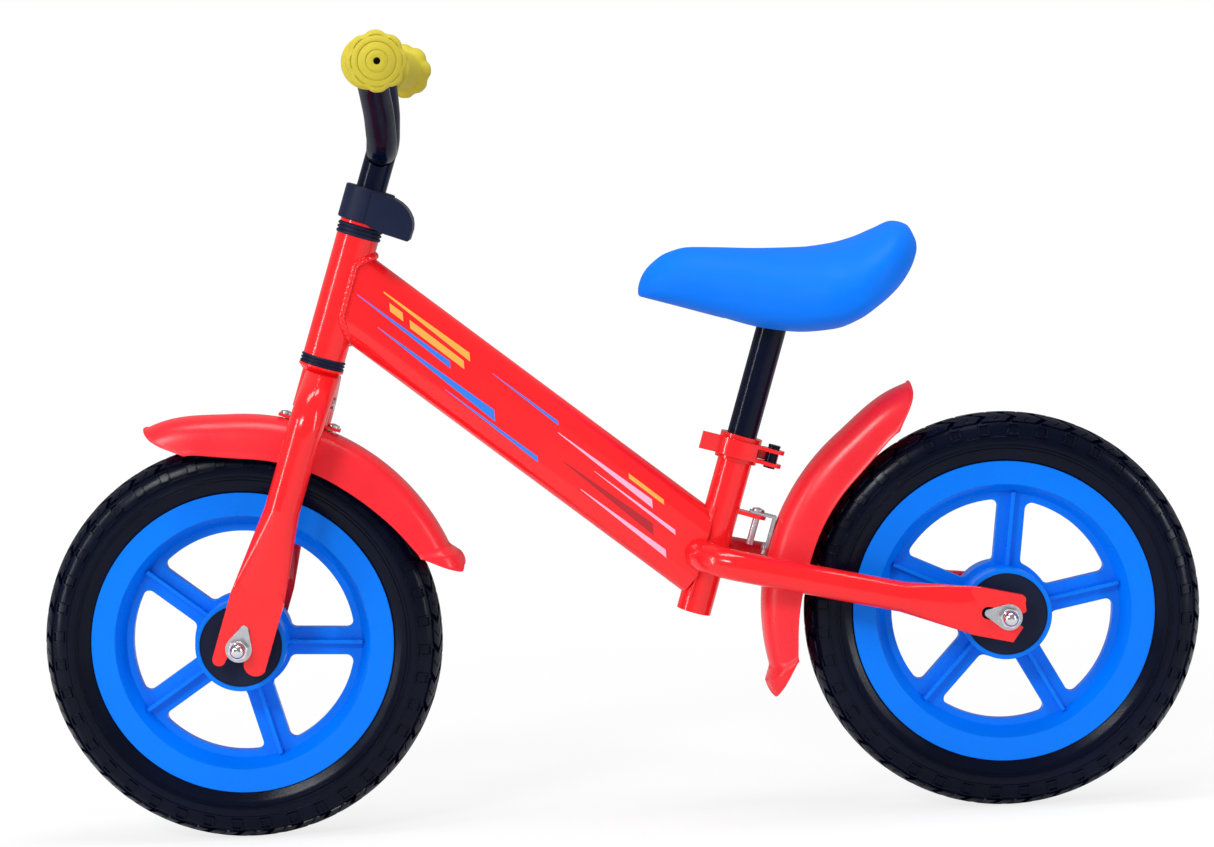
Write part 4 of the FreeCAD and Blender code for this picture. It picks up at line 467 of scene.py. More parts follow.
MATERIALS = {
    "frame_red": enamel("frame_red", RED),
    "fender_red": moulded("fender_red", FENDER_RED, 0.24, 0.34, 500, 0.03, drift=0.08),
    "cup_black": moulded("cup_black", CUP_BLACK, 0.34, 0.48, 1400, 0.05, edge=0.4, drift=0.3, gloss=0.11),
    "tube_black": enamel("tube_black", TUBE_BLACK, roughness=0.12, coat=0.0, gloss=0.13),
    "zinc": plated("zinc", (0.60, 0.61, 0.65), 0.22, 0.38),
    "chrome_nut": plated("chrome_nut", (0.72, 0.72, 0.75), 0.06, 0.14),
    "bearing_steel": plated("bearing_steel", (0.5, 0.51, 0.53), 0.22, 0.34),
    "tyre_black": moulded("tyre_black", TYRE_BLACK, 0.16, 0.3, 900, 0.06, edge=0.3, drift=0.35, gloss=0.12),
    "rim_blue": moulded("rim_blue", RIM_BLUE, 0.24, 0.34, 450, 0.02, edge=1.2, gloss=0.12),
    "saddle_blue": moulded("saddle_blue", SADDLE_BLUE, 0.5, 0.6, 1100, 0.03, gloss=0.1),
    "grip_yellow": moulded("grip_yellow", GRIP_YELLOW, 0.5, 0.62, 700, 0.08, gloss=0.2),
}
STRIPED_RED = enamel("frame_red_striped", RED, bands=STRIPES)


def finish_cad_nodes():
    slots = {part["node"]: part["material_slot"] for part in frame["record"]["subparts"]}
    for name, piece in nodes.items():
        piece.data.materials.clear()
        piece.data.materials.append(STRIPED_RED if name == "main_tube" else MATERIALS[slots[name]])


# ---------------------------------------------------------------- tyres
TREAD_BLOCKS = 40
TREAD_DEPTH = 2.9
# Shares of one block round the tyre.
GAP_HALF = 0.1
SQUARE_HALF, SQUARE_RIM = 0.2, 0.062
SLIT_HALF = 0.025
EDGE_TURN = 0.006
# Places across the tyre, from the crown along its section.
GROOVE = (5.0, 6.7)
SLIT_START = 7
CROWN_END = 17.6
SHOULDER_START = 19.0
SQUARE_OUTSIDE = (20.4, 29.6)
SQUARE_INSIDE = (21.7, 28.3)
SHOULDER_END = 30.6
FIRST_RIB_END = 31.6
WALL_RIBS = ((37.0, 37.8), (39.6, 40.4))
TREAD_EDGES = (*GROOVE, CROWN_END, SHOULDER_START, *SQUARE_OUTSIDE, *SQUARE_INSIDE, SHOULDER_END,
               FIRST_RIB_END, *WALL_RIBS[0], *WALL_RIBS[1])
BETWEEN_EDGES = (0, 2.5, 9.5, 12, 14.8, 24.8, 34, 35.5, 38.7, 42, 45)
EDGE_RUN = 0.12
# The tyre's inner face, in from its edge on the rim.
SEAT_DEPTH, SEAT_INSET = 3.0, 2.5
# Heights from the top of the blocks.
SLIT_HEIGHT = -0.7
CROWN_STEP_HEIGHT = -1.6
SQUARE_HEIGHT = 0.2
SHOULDER_HEIGHT = -1.2
RIB_HEIGHT = -0.4
WALL_HEIGHT = -1.3
# How far a block's ends run round the tyre at places across it, as a share of a block.
SHIFT_PLACES = (0, 5, 6.6, 12, 17.5, 19.0, 60)
SHIFTS = (0.25, 0.38, 0.38, -0.06, 0.14, 0.0, 0.0)


def tyre_section():
    """Half the tyre's section from crown to rim: across, out and the length run so far."""
    rim_edge = (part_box("front_rim")[1].z - FRONT_AXLE.z) / MM
    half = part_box("front_tyre")[1].y / MM
    across = np.array([0, 4, 9, 14, 17.5, 19.8, 21.4, 22.2, half, 22.3, 21.2, 19.3, 17.6])
    under_crown = np.array([0, 0.2, 1.3, 3.6, 6.0, 9.0, 12.8, 16.6, 19.6, 24, 29, 33, TYRE_RADIUS - rim_edge])
    out = TYRE_RADIUS - under_crown
    lengths = np.concatenate([[0], np.cumsum(np.hypot(np.diff(across), np.diff(out)))])
    return across, out, lengths


def tread_sink(place, turn):
    """Height from the top of the blocks, place mm from the crown, turn 0-1 round one block."""
    from_gap = abs(turn - round(turn))
    from_middle = abs(turn - 0.5)
    if place < CROWN_END:
        if from_gap < GAP_HALF or between(place, GROOVE):
            return -TREAD_DEPTH
        return SLIT_HEIGHT if from_middle < SLIT_HALF and place > SLIT_START else 0.0
    if place < SHOULDER_START:
        return CROWN_STEP_HEIGHT
    if place < SHOULDER_END:
        in_square = from_middle < SQUARE_HALF and between(place, SQUARE_OUTSIDE)
        in_core = from_middle < SQUARE_HALF - SQUARE_RIM and between(place, SQUARE_INSIDE)
        return SQUARE_HEIGHT if in_square and not in_core else SHOULDER_HEIGHT
    if place < FIRST_RIB_END or any(between(place, rib) for rib in WALL_RIBS):
        return RIB_HEIGHT
    return WALL_HEIGHT


def around(value, reach):
    """The two sides of a steep edge."""
    return [value - reach, value + reach]


def tyre_rows(across, out, lengths):
    """Rows of points from rim to rim: place from the crown, y, radius, outward y and radius."""
    places = [*BETWEEN_EDGES, lengths[-1]]
    for edge in TREAD_EDGES:
        places += around(edge, EDGE_RUN)
    rows = []
    for side in (LEFT, RIGHT):
        half = []
        for place in sorted(places):
            ends = (max(place - 0.5, 0), min(place + 0.5, lengths[-1]))
            run = np.diff(np.interp(ends, lengths, across))[0]
            rise = np.diff(np.interp(ends, lengths, out))[0]
            slope = Vector((run, rise)).normalized()
            half.append((place, side * np.interp(place, lengths, across), np.interp(place, lengths, out),
                         -slope.y * side, slope.x))
        rows += list(reversed(half))[:-1] if side == LEFT else half
    return rows


def block_turns():
    """Where the columns of points stand round one block, 0-1."""
    turns = [0.2, 0.35, 0.5, 0.65, 0.8]
    for edge in (GAP_HALF, 0.5 - SQUARE_HALF, 0.5 - SQUARE_HALF + SQUARE_RIM, 0.5 - SLIT_HALF):
        turns += around(edge, EDGE_TURN) + around(1 - edge, EDGE_TURN)
    return sorted(turns)


def tyre(name, node, axle, body):
    """Foam tyre: blocks over the crown, raised square outlines round each shoulder, ribbed walls."""
    across, out, lengths = tyre_section()
    rows = tyre_rows(across, out, lengths)
    turns = block_turns()
    columns = TREAD_BLOCKS * len(turns)
    points = []
    for place, y, radius, normal_y, normal_r in rows:
        shift = float(smooth_curve(SHIFT_PLACES, SHIFTS, place))
        if y < 0 and place < (CROWN_END + SHOULDER_START) / 2:
            shift += 0.5
        for block in range(TREAD_BLOCKS):
            for turn in turns:
                sunk = tread_sink(place, turn)
                angle = 2 * math.pi * (block + turn + shift) / TREAD_BLOCKS
                points.append(round_axle(axle, angle, radius + sunk * normal_r, y + sunk * normal_y))
    seat_radius, seat_half = out[-1] - SEAT_DEPTH, across[-1] - SEAT_INSET
    for y in (seat_half, -seat_half):
        for column in range(columns):
            points.append(round_axle(axle, 2 * math.pi * column / columns, seat_radius, y))
    faces = grid_faces(len(rows) + 2, columns, close_rows=True, close_columns=True)
    piece = mesh_piece(name, points, faces, body, "tyre_black")
    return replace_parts(piece, node)


# ---------------------------------------------------------------- saddle
# From the nose back: share of the length, share of the half width, underside and top. The last two
# are heights over SADDLE_LEVEL.
SADDLE_STATIONS = (
    (0, 0.04, 17.5, 19.0), (0.004, 0.15, 15.6, 24), (0.02, 0.235, 14.4, 31.5), (0.05, 0.315, 12.6, 38.5),
    (0.113, 0.40, 8.8, 46.5), (0.187, 0.47, 4.2, 49.6), (0.28, 0.55, -1.5, 48.8), (0.45, 0.76, -11.2, 46.8),
    (0.586, 0.93, -14.6, 46.4), (0.69, 1, -13.2, 48.2), (0.773, 1, -7.5, 52.0), (0.847, 0.94, 2.0, 57.6),
    (0.916, 0.79, 13.5, 62.7), (0.966, 0.57, 26.5, 60.0), (0.992, 0.32, 37.5, 51.5), (1, 0.05, 43, 46))
SADDLE_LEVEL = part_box("saddle_cover")[0].z + 14.5 * MM
SADDLE_RINGS, SADDLE_SIDES = 90, 72
BELT_SHARE = 0.36
TOP_POWER, UNDER_POWER = 2.15, 2.9
BASE_PLAY, HOLLOW_DEPTH = 0.3, 60


def saddle():
    """Moulded one-piece saddle: narrow nose, flat middle, raised tail, hollow for its base."""
    low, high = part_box("saddle_cover")
    half = (high.y - low.y) / 2
    share, wide, under, top = np.array(SADDLE_STATIONS).T
    turns = np.arccos(1 - 2 * share) / math.pi
    points = []
    for i in range(SADDLE_RINGS + 1):
        t = i / SADDLE_RINGS
        x = low.x + (high.x - low.x) * (1 - math.cos(math.pi * t)) / 2
        width = half * float(smooth_curve(turns, wide, t))
        bottom = SADDLE_LEVEL + float(smooth_curve(turns, under, t)) * MM
        crest = SADDLE_LEVEL + float(smooth_curve(turns, top, t)) * MM
        belt = bottom + (crest - bottom) * BELT_SHARE
        for k in range(SADDLE_SIDES):
            angle = 2 * math.pi * k / SADDLE_SIDES
            c, s = math.cos(angle), math.sin(angle)
            power = TOP_POWER if s >= 0 else UNDER_POWER
            y = width * math.copysign(abs(c) ** (2 / power), c)
            rise = (crest - belt) if s >= 0 else (belt - bottom)
            points.append((x, y, belt + rise * math.copysign(abs(s) ** (2 / power), s)))
    faces = grid_faces(SADDLE_RINGS + 1, SADDLE_SIDES, close_columns=True)
    faces += end_faces(SADDLE_RINGS + 1, SADDLE_SIDES)
    piece = mesh_piece("saddle_pad", points, faces, "seat", "saddle_blue")
    base_low, base_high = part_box("saddle_base")
    play = Vector((BASE_PLAY, BASE_PLAY, BASE_PLAY)) * MM
    below = Vector((0, 0, HOLLOW_DEPTH - BASE_PLAY)) * MM
    carve(piece, base_low - play - below, base_high + play)
    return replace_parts(piece, "saddle_cover")


# ---------------------------------------------------------------- mudguards
# Sideways and down from the crown.
GUARD_SECTION = ((0, 0), (4, 0.1), (8, 0.55), (12, 1.5), (15, 2.65), (16.5, 3.4),
                 (18.5, 4.9), (21, 7.4), (22.9, 10.4),
                 (24.2, 13.8), (25.1, 17.4), (25.8, 21), (26.5, 24.5), (27.1, 27.6), (27.9, 29.2), (27.9, 30))
GUARD_DEPTH = 30
GUARD_WALL = 1.8
NOTCH_DEPTH, NOTCH_HALF = 11.5, 16.5
TAIL_SLANT, TAIL_SLANT_START, TAIL_CURVE = 21.7, 3.2, 1.05
NOSE_SLANT, NOSE_CURVE = 24, 1.95
NOSE_LIFT, LIFT_FIRST, LIFT_LAST = 5.0, 10, 64
NOSE_BEAD, TAIL_BEAD = 0.9, 0.5
# The step at the tail: each pair is the value at the crown and its change down to the lower edge.
STEP_PLACE = (20, 5.6)
STEP_RAMP = (8, -3.5)
STEP_HEIGHT = (5.6, -3.4)
TAIL_SPREAD = 0.05
# Lengths at the two ends where rings of points stand closer together.
NOSE_ROOM, TAIL_ROOM = 26, 34


def section_normal(section, k):
    """Outward direction (sideways, outwards) at a point of a mudguard's section."""
    before, after = section[max(k - 1, 0)], section[min(k + 1, len(section) - 1)]
    dy, dd = after[0] - before[0], after[1] - before[1]
    size = math.hypot(dy, dd)
    return dd / size, dy / size


def guard_ends(y, drop):
    """How far the tail's and the nose's edges stand back at a point of the section."""
    notch = NOTCH_DEPTH * max(0.0, 1 - abs(y) / NOTCH_HALF)
    slanted = max(0.0, (drop - TAIL_SLANT_START) / (GUARD_DEPTH - TAIL_SLANT_START))
    return notch + TAIL_SLANT * slanted ** TAIL_CURVE, NOSE_SLANT * (drop / GUARD_DEPTH) ** NOSE_CURVE


def guard_depth(place, span):
    """Depth of the skirt, place mm from the tail of an arch that is span mm long."""
    places = [0, 22, 35, 55, 85, 115, span - 80, span - 50, span - 24, span]
    depths = [21.5, 21.5, 23.6, 26.2, 29.2, 30.5, 30.5, 28.6, 26.8, 28.8]
    return float(smooth_curve(places, depths, place))


def tail_flare(skirt, place):
    """How far the step at the tail stands out, skirt 0 at the crown and 1 at the lower edge."""
    ridge, ramp, height = (crown + change * skirt for crown, change in (STEP_PLACE, STEP_RAMP, STEP_HEIGHT))
    flare = height * float(np.clip((ridge - place) / ramp, 0, 1))
    return flare + TAIL_SPREAD * max(0.0, ridge - ramp - place)


def edge_bead(to_nose, from_tail):
    """Rounded thickening along the two cut edges."""
    at_nose = float(1 - step(1.2, 2.6, to_nose))
    at_tail = float(1 - step(0.6, 1.4, from_tail))
    return NOSE_BEAD * at_nose + TAIL_BEAD * at_tail


def guard_shares(span):
    """Where the rings of points stand along the arch, 0 at the tail and 1 at the nose, closer
    together near both ends."""
    reach = span - NOSE_ROOM
    near_tail = np.arange(0, TAIL_ROOM, 0.75)
    middle = np.linspace(TAIL_ROOM, reach - NOSE_ROOM, 44)
    near_nose = reach - np.concatenate([np.arange(NOSE_ROOM, 4, -2.5), [3, 2.4, 2.0, 1.5, 1.0, 0.5, 0]])
    return np.concatenate([near_tail, middle, near_nose]) / reach


def mudguard(name, node, centre, radius, nose, tail, body):
    """Moulded arch: rounded crown, skirts that shorten towards both ends, a pointed nose, and a
    stepped tail with two points. nose and tail are angles in degrees above level to the rear."""
    section = [(-y, drop) for y, drop in reversed(GUARD_SECTION[1:])] + list(GUARD_SECTION)
    arc = math.copysign(1, nose - tail)
    span = math.radians(abs(nose - tail)) * radius
    shares = guard_shares(span)
    points = []
    for share in shares:
        outer, inner = [], []
        for k, (y, drop) in enumerate(section):
            skirt = drop / GUARD_DEPTH
            tail_cut, nose_cut = guard_ends(y, drop)
            place = tail_cut + share * (span - tail_cut - nose_cut)
            lift = NOSE_LIFT * (1 - step(LIFT_FIRST, LIFT_LAST, span - place))
            flare = tail_flare(skirt, place)
            bead = edge_bead(span - nose_cut - place, place - tail_cut)
            normal_y, normal_r = section_normal(section, k)
            angle = math.radians(tail) + arc * place / radius
            level = radius + lift - skirt * guard_depth(place, span)
            for target, offset in ((outer, flare + bead), (inner, flare - GUARD_WALL)):
                target.append(round_axle(centre, angle, level + offset * normal_r, y + offset * normal_y))
        points += outer + list(reversed(inner))
    width = len(section)
    columns = 2 * width
    faces = grid_faces(len(shares), columns, close_columns=True)
    for row in (0, len(shares) - 1):
        start = row * columns
        for k in range(width - 1):
            faces.append((start + k, start + k + 1, start + columns - 2 - k, start + columns - 1 - k))
    piece = mesh_piece(name, points, faces, body, "fender_red", 21)
    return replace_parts(piece, node)


# ---------------------------------------------------------------- grips
# Radius and height over the bar's end.
GRIP_BORE = 11.0
GRIP_START, GRIP_END = -92, 0.1
GRIP_FLANGE = ((17.6, GRIP_START), (18.9, -90.8), (18.9, -87.4), (17.6, -86.2), (15.4, -84.6))
BARREL_START, BARREL_PITCH, BARREL_STEPS = -82, 2.6, 27
BARREL_CREST, BARREL_VALLEY = 14.7, 13.9
GRIP_KNOB = ((15.0, -10.2), (17.6, -8.8), (20.0, -6.6), (21.0, -3.8), (21.0, -1.2), (20.3, 1.0), (18.6, 2.4),
             (17.8, 2.5), (17.3, 1.9), (16.8, 2.7), (14.2, 3.6), (13.4, 3.6), (12.9, 3.0), (12.4, 3.8),
             (8.0, 4.6), (7.4, 4.1), (6.8, 4.7), (3.2, 5.0), (2.4, 4.6), (2.4, GRIP_END))
SCALLOPS, SCALLOP_DEPTH = 8, 0.075
SCALLOP_RADIUS, SCALLOP_START = 17.5, -9


def scallop(angle, radius, height):
    """Scallops round the knob at the grip's end."""
    if radius < SCALLOP_RADIUS or height < SCALLOP_START:
        return radius, height
    return radius * (1 - SCALLOP_DEPTH * (0.5 - 0.5 * math.cos(SCALLOPS * angle)) ** 2), height


def grip(name, node, mount):
    """Soft grip: guard flange, ringed barrel, scalloped end knob with rings and a hole."""
    barrel = [(BARREL_VALLEY if i % 2 else BARREL_CREST, BARREL_START + i * BARREL_PITCH)
              for i in range(BARREL_STEPS)]
    profile = [(GRIP_BORE, GRIP_START), *GRIP_FLANGE, *barrel, *GRIP_KNOB, (GRIP_BORE, GRIP_END)]
    matrix = upright_frame(*bar_end(mount))
    piece = turned(name, matrix, profile, "handlebar", "grip_yellow", segments=128, shape=scallop, smooth=50)
    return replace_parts(piece, node)


# ---------------------------------------------------------------- handlebar
BAR_RADIUS = 10.95
# Back, to the right and up from the bar's middle.
BAR_BEND = ((0, 0, 0), (0.1, 6, 0.3), (0.8, 14, 3.2), (1.6, 24, 10.5), (1.6, 38, 23), (0.3, 56, 39.5),
            (-1.4, 74, 54), (-2.2, 91, 61.2))
GRIP_PLACES = (85, 40, 0)


def handlebar():
    """One bent tube: level at its middle on the post, up to the grips, then level inside them."""
    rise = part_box("handlebar_bar")[0].z + BAR_RADIUS * MM - FRONT_AXLE.z
    middle = FRONT_AXLE + STEERING_AXIS * rise / STEERING_AXIS.z
    tip, axis = bar_end("right_grip_end")
    tip = (tip - middle) / MM
    corners = np.array(list(BAR_BEND) + [tip - axis * back for back in GRIP_PLACES])
    run = np.concatenate([[0], np.cumsum(np.linalg.norm(np.diff(corners, axis=0), axis=1))])
    places = np.linspace(0, run[-1], 120)
    right = np.array([smooth_curve(run, values, places) for values in corners.T]).T
    left = right[:0:-1] * (1, -1, 1)
    path = np.concatenate([left, right]) * MM + np.array(middle)
    tube = swept("handlebar_tube", path, BAR_RADIUS, "handlebar", "tube_black", 40, False)
    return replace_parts(tube, "handlebar_bar")


# ---------------------------------------------------------------- headset and stem cover
CUP_INSIDE = 12.9
LOWER_CUP_RADIUS, UPPER_CUP_RADIUS = 16.4, 16.5
GROOVE_DEPTH = 0.9
LOCK_RING_GAP = 0.2


def grooved_cup(name, node, visible, outer, body):
    """A headset cup's visible ring with two grooves and a rounded rim."""
    low, high = visible
    third = (high - low) / 3
    valley = outer - GROOVE_DEPTH
    profile = [(CUP_INSIDE, low), (outer - 0.6, low), (outer, low + 0.6)]
    for k in (1, 2):
        place = low + third * k
        profile += [(outer, place - 0.7), (valley, place - 0.35)]
        profile += [(valley, place + 0.35), (outer, place + 0.7)]
    profile += [(outer, high - 0.8), (outer - 0.8, high), (CUP_INSIDE, high)]
    piece = turned(name, STEERING, profile, body, "cup_black", smooth=35)
    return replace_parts(piece, node)


def headset():
    tube_low, tube_high = span_along(STEERING, "head_tube")
    cup_low = span_along(STEERING, "lower_headset_cup")[0]
    cup_high = span_along(STEERING, "headset_lock_ring")[0] - LOCK_RING_GAP
    grooved_cup("lower_cup_ring", "lower_headset_cup", (cup_low, tube_low), LOWER_CUP_RADIUS, "frame")
    grooved_cup("upper_cup_ring", "upper_headset_cup", (tube_high, cup_high), UPPER_CUP_RADIUS, "frame")


COVER_RADIUS, COVER_EDGE, COVER_FRONT_RISE = 18.3, 0.8, 4
COVER_BACK, COVER_HALF_WIDTH = 37.2, 19.2
# Back from the steering axis, and down from the cover's top.
COVER_TOP = ((2.8, 1.4), (14, 1.5), (19, 2.0), (24.2, 3.6), (28.6, 6.0), (32.0, 8.9), (34.8, 12.4),
             (36.5, 16.4), (COVER_BACK, 20))
STEERER_BORE, POST_BORE, STEP_UNDER_TOP = 12.95, 11.5, 4
CORE = 0.2
COVER_ROUNDING, ROUNDED_OVER = 0.7, 35


def stem_cover():
    """Plastic cover of the bar clamp: a ring in front and a flat-sided block behind that rounds
    down towards the back."""
    low, high = span_along(STEERING, "bar_clamp_cover")
    front_low = low + COVER_FRONT_RISE
    ring = [(CORE, front_low), (COVER_RADIUS - COVER_EDGE, front_low), (COVER_RADIUS, front_low + COVER_EDGE),
            (COVER_RADIUS, high - COVER_EDGE), (COVER_RADIUS - COVER_EDGE, high), (CORE, high)]
    cover = turned("stem_cover", STEERING, ring, "fork", "cup_black")
    top = [(back, high - drop) for back, drop in COVER_TOP]
    underside = [(COVER_BACK - 0.2, low + 1.0), (COVER_BACK - 1.2, low), (15, low + 0.8),
                 (4.2, front_low - 0.4), (2.8, front_low + 0.6)]
    block = prism("block", STEERING, top + underside, COVER_HALF_WIDTH, "fork", "cup_black")
    combined(cover, block, "UNION")
    steerer_top = high - STEP_UNDER_TOP
    below, above = low - 5, high + 5
    hollow = [(CORE / 2, below), (STEERER_BORE, below), (STEERER_BORE, steerer_top),
              (POST_BORE, steerer_top + 0.1), (POST_BORE, above), (CORE / 2, above)]
    combined(cover, turned("bore", STEERING, hollow, "fork", "cup_black", segments=64), "DIFFERENCE")
    rounding = cover.modifiers.new("rounding", "BEVEL")
    rounding.width = COVER_ROUNDING * MM
    rounding.segments = 2
    rounding.limit_method = "ANGLE"
    rounding.angle_limit = math.radians(ROUNDED_OVER)
    shade(cover, ROUNDED_OVER)
    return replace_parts(cover, "bar_clamp_cover")


# ---------------------------------------------------------------- weld beads
HEAD_BEAD, THIN_BEAD = 2.9, 1.5
BEAD_RIPPLE, BEAD_PITCH = 0.07, 4.2
BEAD_STEP = 0.7
OVAL_HALF_HIGH, OVAL_HALF_WIDE = 30.5, 15
STAY_END_RADIUS = 11
# From a tube's axis to the middle of the bead on it.
HEAD_BEAD_REACH, STAY_BEAD_REACH, SEAT_BEAD_REACH = 15.5, 13.2, 11.9
# From the middle of the joint of main tube and seat tube.
SEAT_BEAD_AHEAD, SEAT_BEAD_DOWN, SEAT_BEAD_UP = 5, 33, 37


def weld(name, points, radius, closed=True):
    """A rippled bead along a joint of two tubes of the frame."""
    dense = []
    count = len(points)
    for i in range(count if closed else count - 1):
        first, last = Vector(points[i]), Vector(points[(i + 1) % count])
        steps = max(1, round((last - first).length / (BEAD_STEP * MM)))
        dense += [first.lerp(last, k / steps) for k in range(steps)]
    if not closed:
        dense.append(Vector(points[-1]))
    return swept(name, dense, radius, "frame", "frame_red", 10, closed, BEAD_RIPPLE, BEAD_PITCH)


def reach_cylinder(point, direction, centre, axis, radius):
    """Where a ray first meets an endless cylinder, or None. The radius is in mm."""
    offset = point - centre
    across = direction - axis * direction.dot(axis)
    away = offset - axis * offset.dot(axis)
    a, b, c = across.dot(across), 2 * across.dot(away), away.dot(away) - (radius * MM) ** 2
    inside = b * b - 4 * a * c
    if inside < 0 or a < 1e-12:
        return None
    return point + direction * ((-b - math.sqrt(inside)) / (2 * a))


def head_weld():
    """Round the oval end of the main tube, on the head tube."""
    outside = TUBE_START + TUBE_RUN * 60 * MM
    flat = OVAL_HALF_HIGH - OVAL_HALF_WIDE
    points = []
    for k in range(48):
        angle = 2 * math.pi * k / 48
        lift = math.copysign(flat, math.sin(angle)) + OVAL_HALF_WIDE * math.sin(angle)
        side = OVAL_HALF_WIDE * math.cos(angle) * 0.985
        start = outside + (TUBE_UP * lift + Vector((0, side, 0))) * MM
        points.append(reach_cylinder(start, -TUBE_RUN, STEERING.translation, STEERING_AXIS, HEAD_BEAD_REACH))
    weld("head_weld", [point for point in points if point], HEAD_BEAD)


def seat_weld(side, word, seat_centre):
    """Along the side of the seat tube, where the main tube meets it."""
    across = SEAT_AXIS.cross(Vector((0, 1, 0))).normalized()
    ahead = across * math.copysign(SEAT_BEAD_AHEAD * MM, -across.x)
    beside = Vector((0, side * SEAT_BEAD_REACH * MM, 0))
    joint = TUBE_START + TUBE_RUN * (seat_centre - TUBE_START).dot(TUBE_RUN)
    near = seat_centre + SEAT_AXIS * (joint - seat_centre).dot(SEAT_AXIS) + beside + ahead
    ends = [near - SEAT_AXIS * SEAT_BEAD_DOWN * MM, near + SEAT_AXIS * SEAT_BEAD_UP * MM]
    weld(f"{word}_seat_weld", ends, THIN_BEAD, closed=False)


def stay_weld(side, word, seat_centre):
    """Round the front end of a chain stay, on the seat tube."""
    stay = node_points(f"{word}_chain_stay")
    end = stay[np.abs(stay[:, 1]) < np.abs(stay[:, 1]).min() + 12 * MM].mean(0)
    points = []
    for k in range(40):
        angle = 2 * math.pi * k / 40
        ring = Vector((math.cos(angle), 0, math.sin(angle))) * STAY_END_RADIUS * MM
        start = Vector((end[0], side * 40 * MM, end[2])) + ring
        points.append(reach_cylinder(start, Vector((0, -side, 0)), seat_centre, SEAT_AXIS, STAY_BEAD_REACH))
    weld(f"{word}_stay_weld", [point for point in points if point], THIN_BEAD)


def welds():
    head_weld()
    seat_centre = Vector(node_points("seat_tube").mean(0))
    for side, word in ((LEFT, "left"), (RIGHT, "right")):
        seat_weld(side, word, seat_centre)
        stay_weld(side, word, seat_centre)


# ---------------------------------------------------------------- stage
SENSOR_WIDTH = 36
FLOOR_HALF = 14.0
GLOW_STRENGTH = 1.04
GLOW_NEAR, GLOW_FAR = 0.76, 1.0
NEAR_RADIUS, FAR_RADIUS = 0.5, 1.5
WORLD_LIGHT, WORLD_SEEN = 0.36, 1.0
LAMPS = (  # name, place, target, size, power in watts
    ("key", (-1.5, -2.5, 2.0), (0, 0, 0.25), (0.8, 0.6), 43),
    ("left_strip", (-2.1, -1.1, 0.85), (-0.1, 0, 0.3), (0.16, 1.7), 20),
    ("right_strip", (2.2, -1.3, 0.75), (0.1, 0, 0.3), (0.2, 1.5), 20),
    ("top", (0.1, -0.2, 2.4), (0, 0, 0.2), (1.8, 0.5), 32))


def look(place, yaw, pitch, roll, focal):
    """Camera by place in millimetres, angles in degrees and focal length in image widths."""
    data = bpy.data.cameras.new("camera")
    data.sensor_width = SENSOR_WIDTH
    data.lens = SENSOR_WIDTH * focal
    data.clip_end = 50
    camera = new_object("camera", data)
    yaw, pitch, roll = (math.radians(a) for a in (yaw, pitch, roll))
    forward = Vector((math.sin(yaw) * math.cos(pitch), math.cos(yaw) * math.cos(pitch), math.sin(pitch)))
    right = Vector((math.cos(yaw), -math.sin(yaw), 0))
    up = right.cross(forward)
    turned_right = right * math.cos(roll) + up * math.sin(roll)
    turned_up = up * math.cos(roll) - right * math.sin(roll)
    matrix = Matrix((turned_right, turned_up, -forward)).transposed().to_4x4()
    matrix.translation = Vector(place) * MM
    camera.matrix_world = matrix
    bpy.context.scene.camera = camera


def lamp(name, place, target, size, power):
    data = bpy.data.lights.new(name, "AREA")
    data.shape = "RECTANGLE"
    data.size, data.size_y = size
    data.energy = power
    lamp_object = new_object(name, data)
    lamp_object.location = place
    lamp_object.rotation_euler = (Vector(target) - Vector(place)).to_track_quat("-Z", "Y").to_euler()


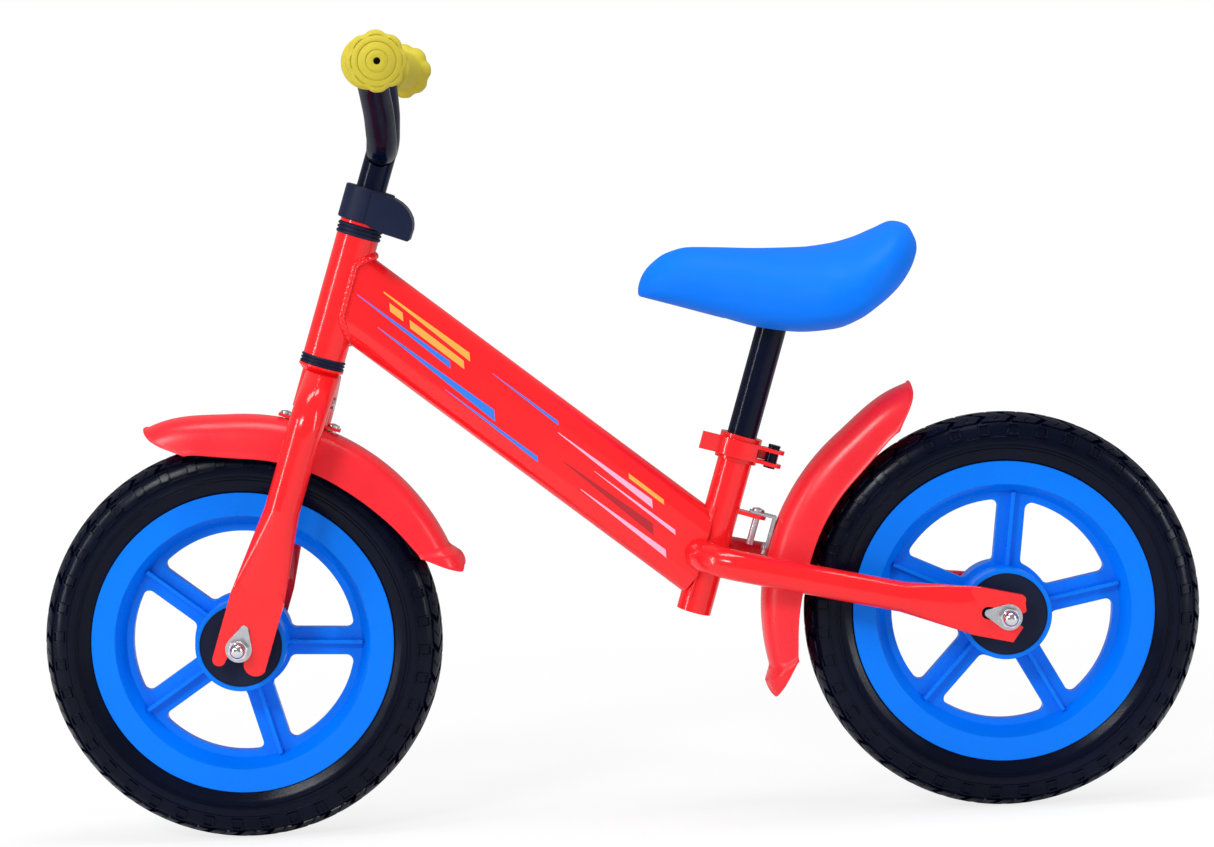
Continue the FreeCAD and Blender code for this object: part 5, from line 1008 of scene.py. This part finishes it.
def floor():
    """Pale floor that the camera sees as white except where the bike shades it."""
    mesh = bpy.data.meshes.new("floor")
    corners = [(-FLOOR_HALF, -FLOOR_HALF, 0), (FLOOR_HALF, -FLOOR_HALF, 0), (FLOOR_HALF, FLOOR_HALF, 0),
               (-FLOOR_HALF, FLOOR_HALF, 0)]
    mesh.from_pydata(corners, [], [(0, 1, 2, 3)])
    piece = new_object("floor", mesh)
    ground = Shader("floor", (0.80, 0.80, 0.80), 0.9)
    glow = ground.node("ShaderNodeEmission")
    glow.inputs["Strength"].default_value = GLOW_STRENGTH
    away = ground.node("ShaderNodeVectorMath", operation="LENGTH")
    ground.link(ground.place, away.inputs[0])
    share = ground.spread(away.outputs["Value"], GLOW_NEAR, GLOW_FAR, NEAR_RADIUS, FAR_RADIUS)
    rays = ground.node("ShaderNodeLightPath")
    blend = ground.node("ShaderNodeMixShader")
    ground.link(ground.maths("MULTIPLY", rays.outputs["Is Camera Ray"], share), blend.inputs[0])
    ground.link(ground.surface.outputs[0], blend.inputs[1])
    ground.link(glow.outputs[0], blend.inputs[2])
    ground.link(blend.outputs[0], ground.tree.nodes["Material Output"].inputs["Surface"])
    piece.data.materials.append(ground.material)


def world():
    """White surroundings that light the bike less than the camera sees."""
    setting = bpy.data.worlds.new("studio")
    bpy.context.scene.world = setting
    setting.use_nodes = True
    tree = setting.node_tree
    background = tree.nodes["Background"]
    rays = tree.nodes.new("ShaderNodeLightPath")
    seen = tree.nodes.new("ShaderNodeMath")
    seen.operation = "MAXIMUM"
    tree.links.new(rays.outputs["Is Camera Ray"], seen.inputs[0])
    tree.links.new(rays.outputs["Is Transmission Ray"], seen.inputs[1])
    strength = tree.nodes.new("ShaderNodeMapRange")
    strength.inputs["To Min"].default_value = WORLD_LIGHT
    strength.inputs["To Max"].default_value = WORLD_SEEN
    tree.links.new(seen.outputs[0], strength.inputs["Value"])
    background.inputs["Color"].default_value = (1, 1, 1, 1)
    tree.links.new(strength.outputs[0], background.inputs["Strength"])


def stage():
    bpy.context.scene.view_settings.view_transform = "Standard"
    floor()
    world()
    for settings in LAMPS:
        lamp(*settings)
    look(place=(-19.7, -2579.9, 504.5), yaw=0.306, pitch=-4.691, roll=-2.354, focal=2.9217133)


# ---------------------------------------------------------------- the whole bike
REAR_GUARD_SHIFT, SHIFT_ANGLE = 9, math.radians(150)
REAR_GUARD_CENTRE = Vector(round_axle(REAR_AXLE, SHIFT_ANGLE, REAR_GUARD_SHIFT, 0))

finish_cad_nodes()
tyre("front_tread", "front_tyre", FRONT_AXLE, "front_wheel")
tyre("rear_tread", "rear_tyre", REAR_AXLE, "rear_wheel")
saddle()
mudguard("front_mudguard", "front_fender", FRONT_AXLE, radius=166, nose=112.5, tail=15.8, body="fork")
mudguard("rear_mudguard", "rear_fender", REAR_GUARD_CENTRE, radius=168.5, nose=108.2, tail=200.5,
         body="frame")
grip("left_grip_rubber", "left_grip", "left_grip_end")
grip("right_grip_rubber", "right_grip", "right_grip_end")
handlebar()
headset()
stem_cover()
welds()
stage()
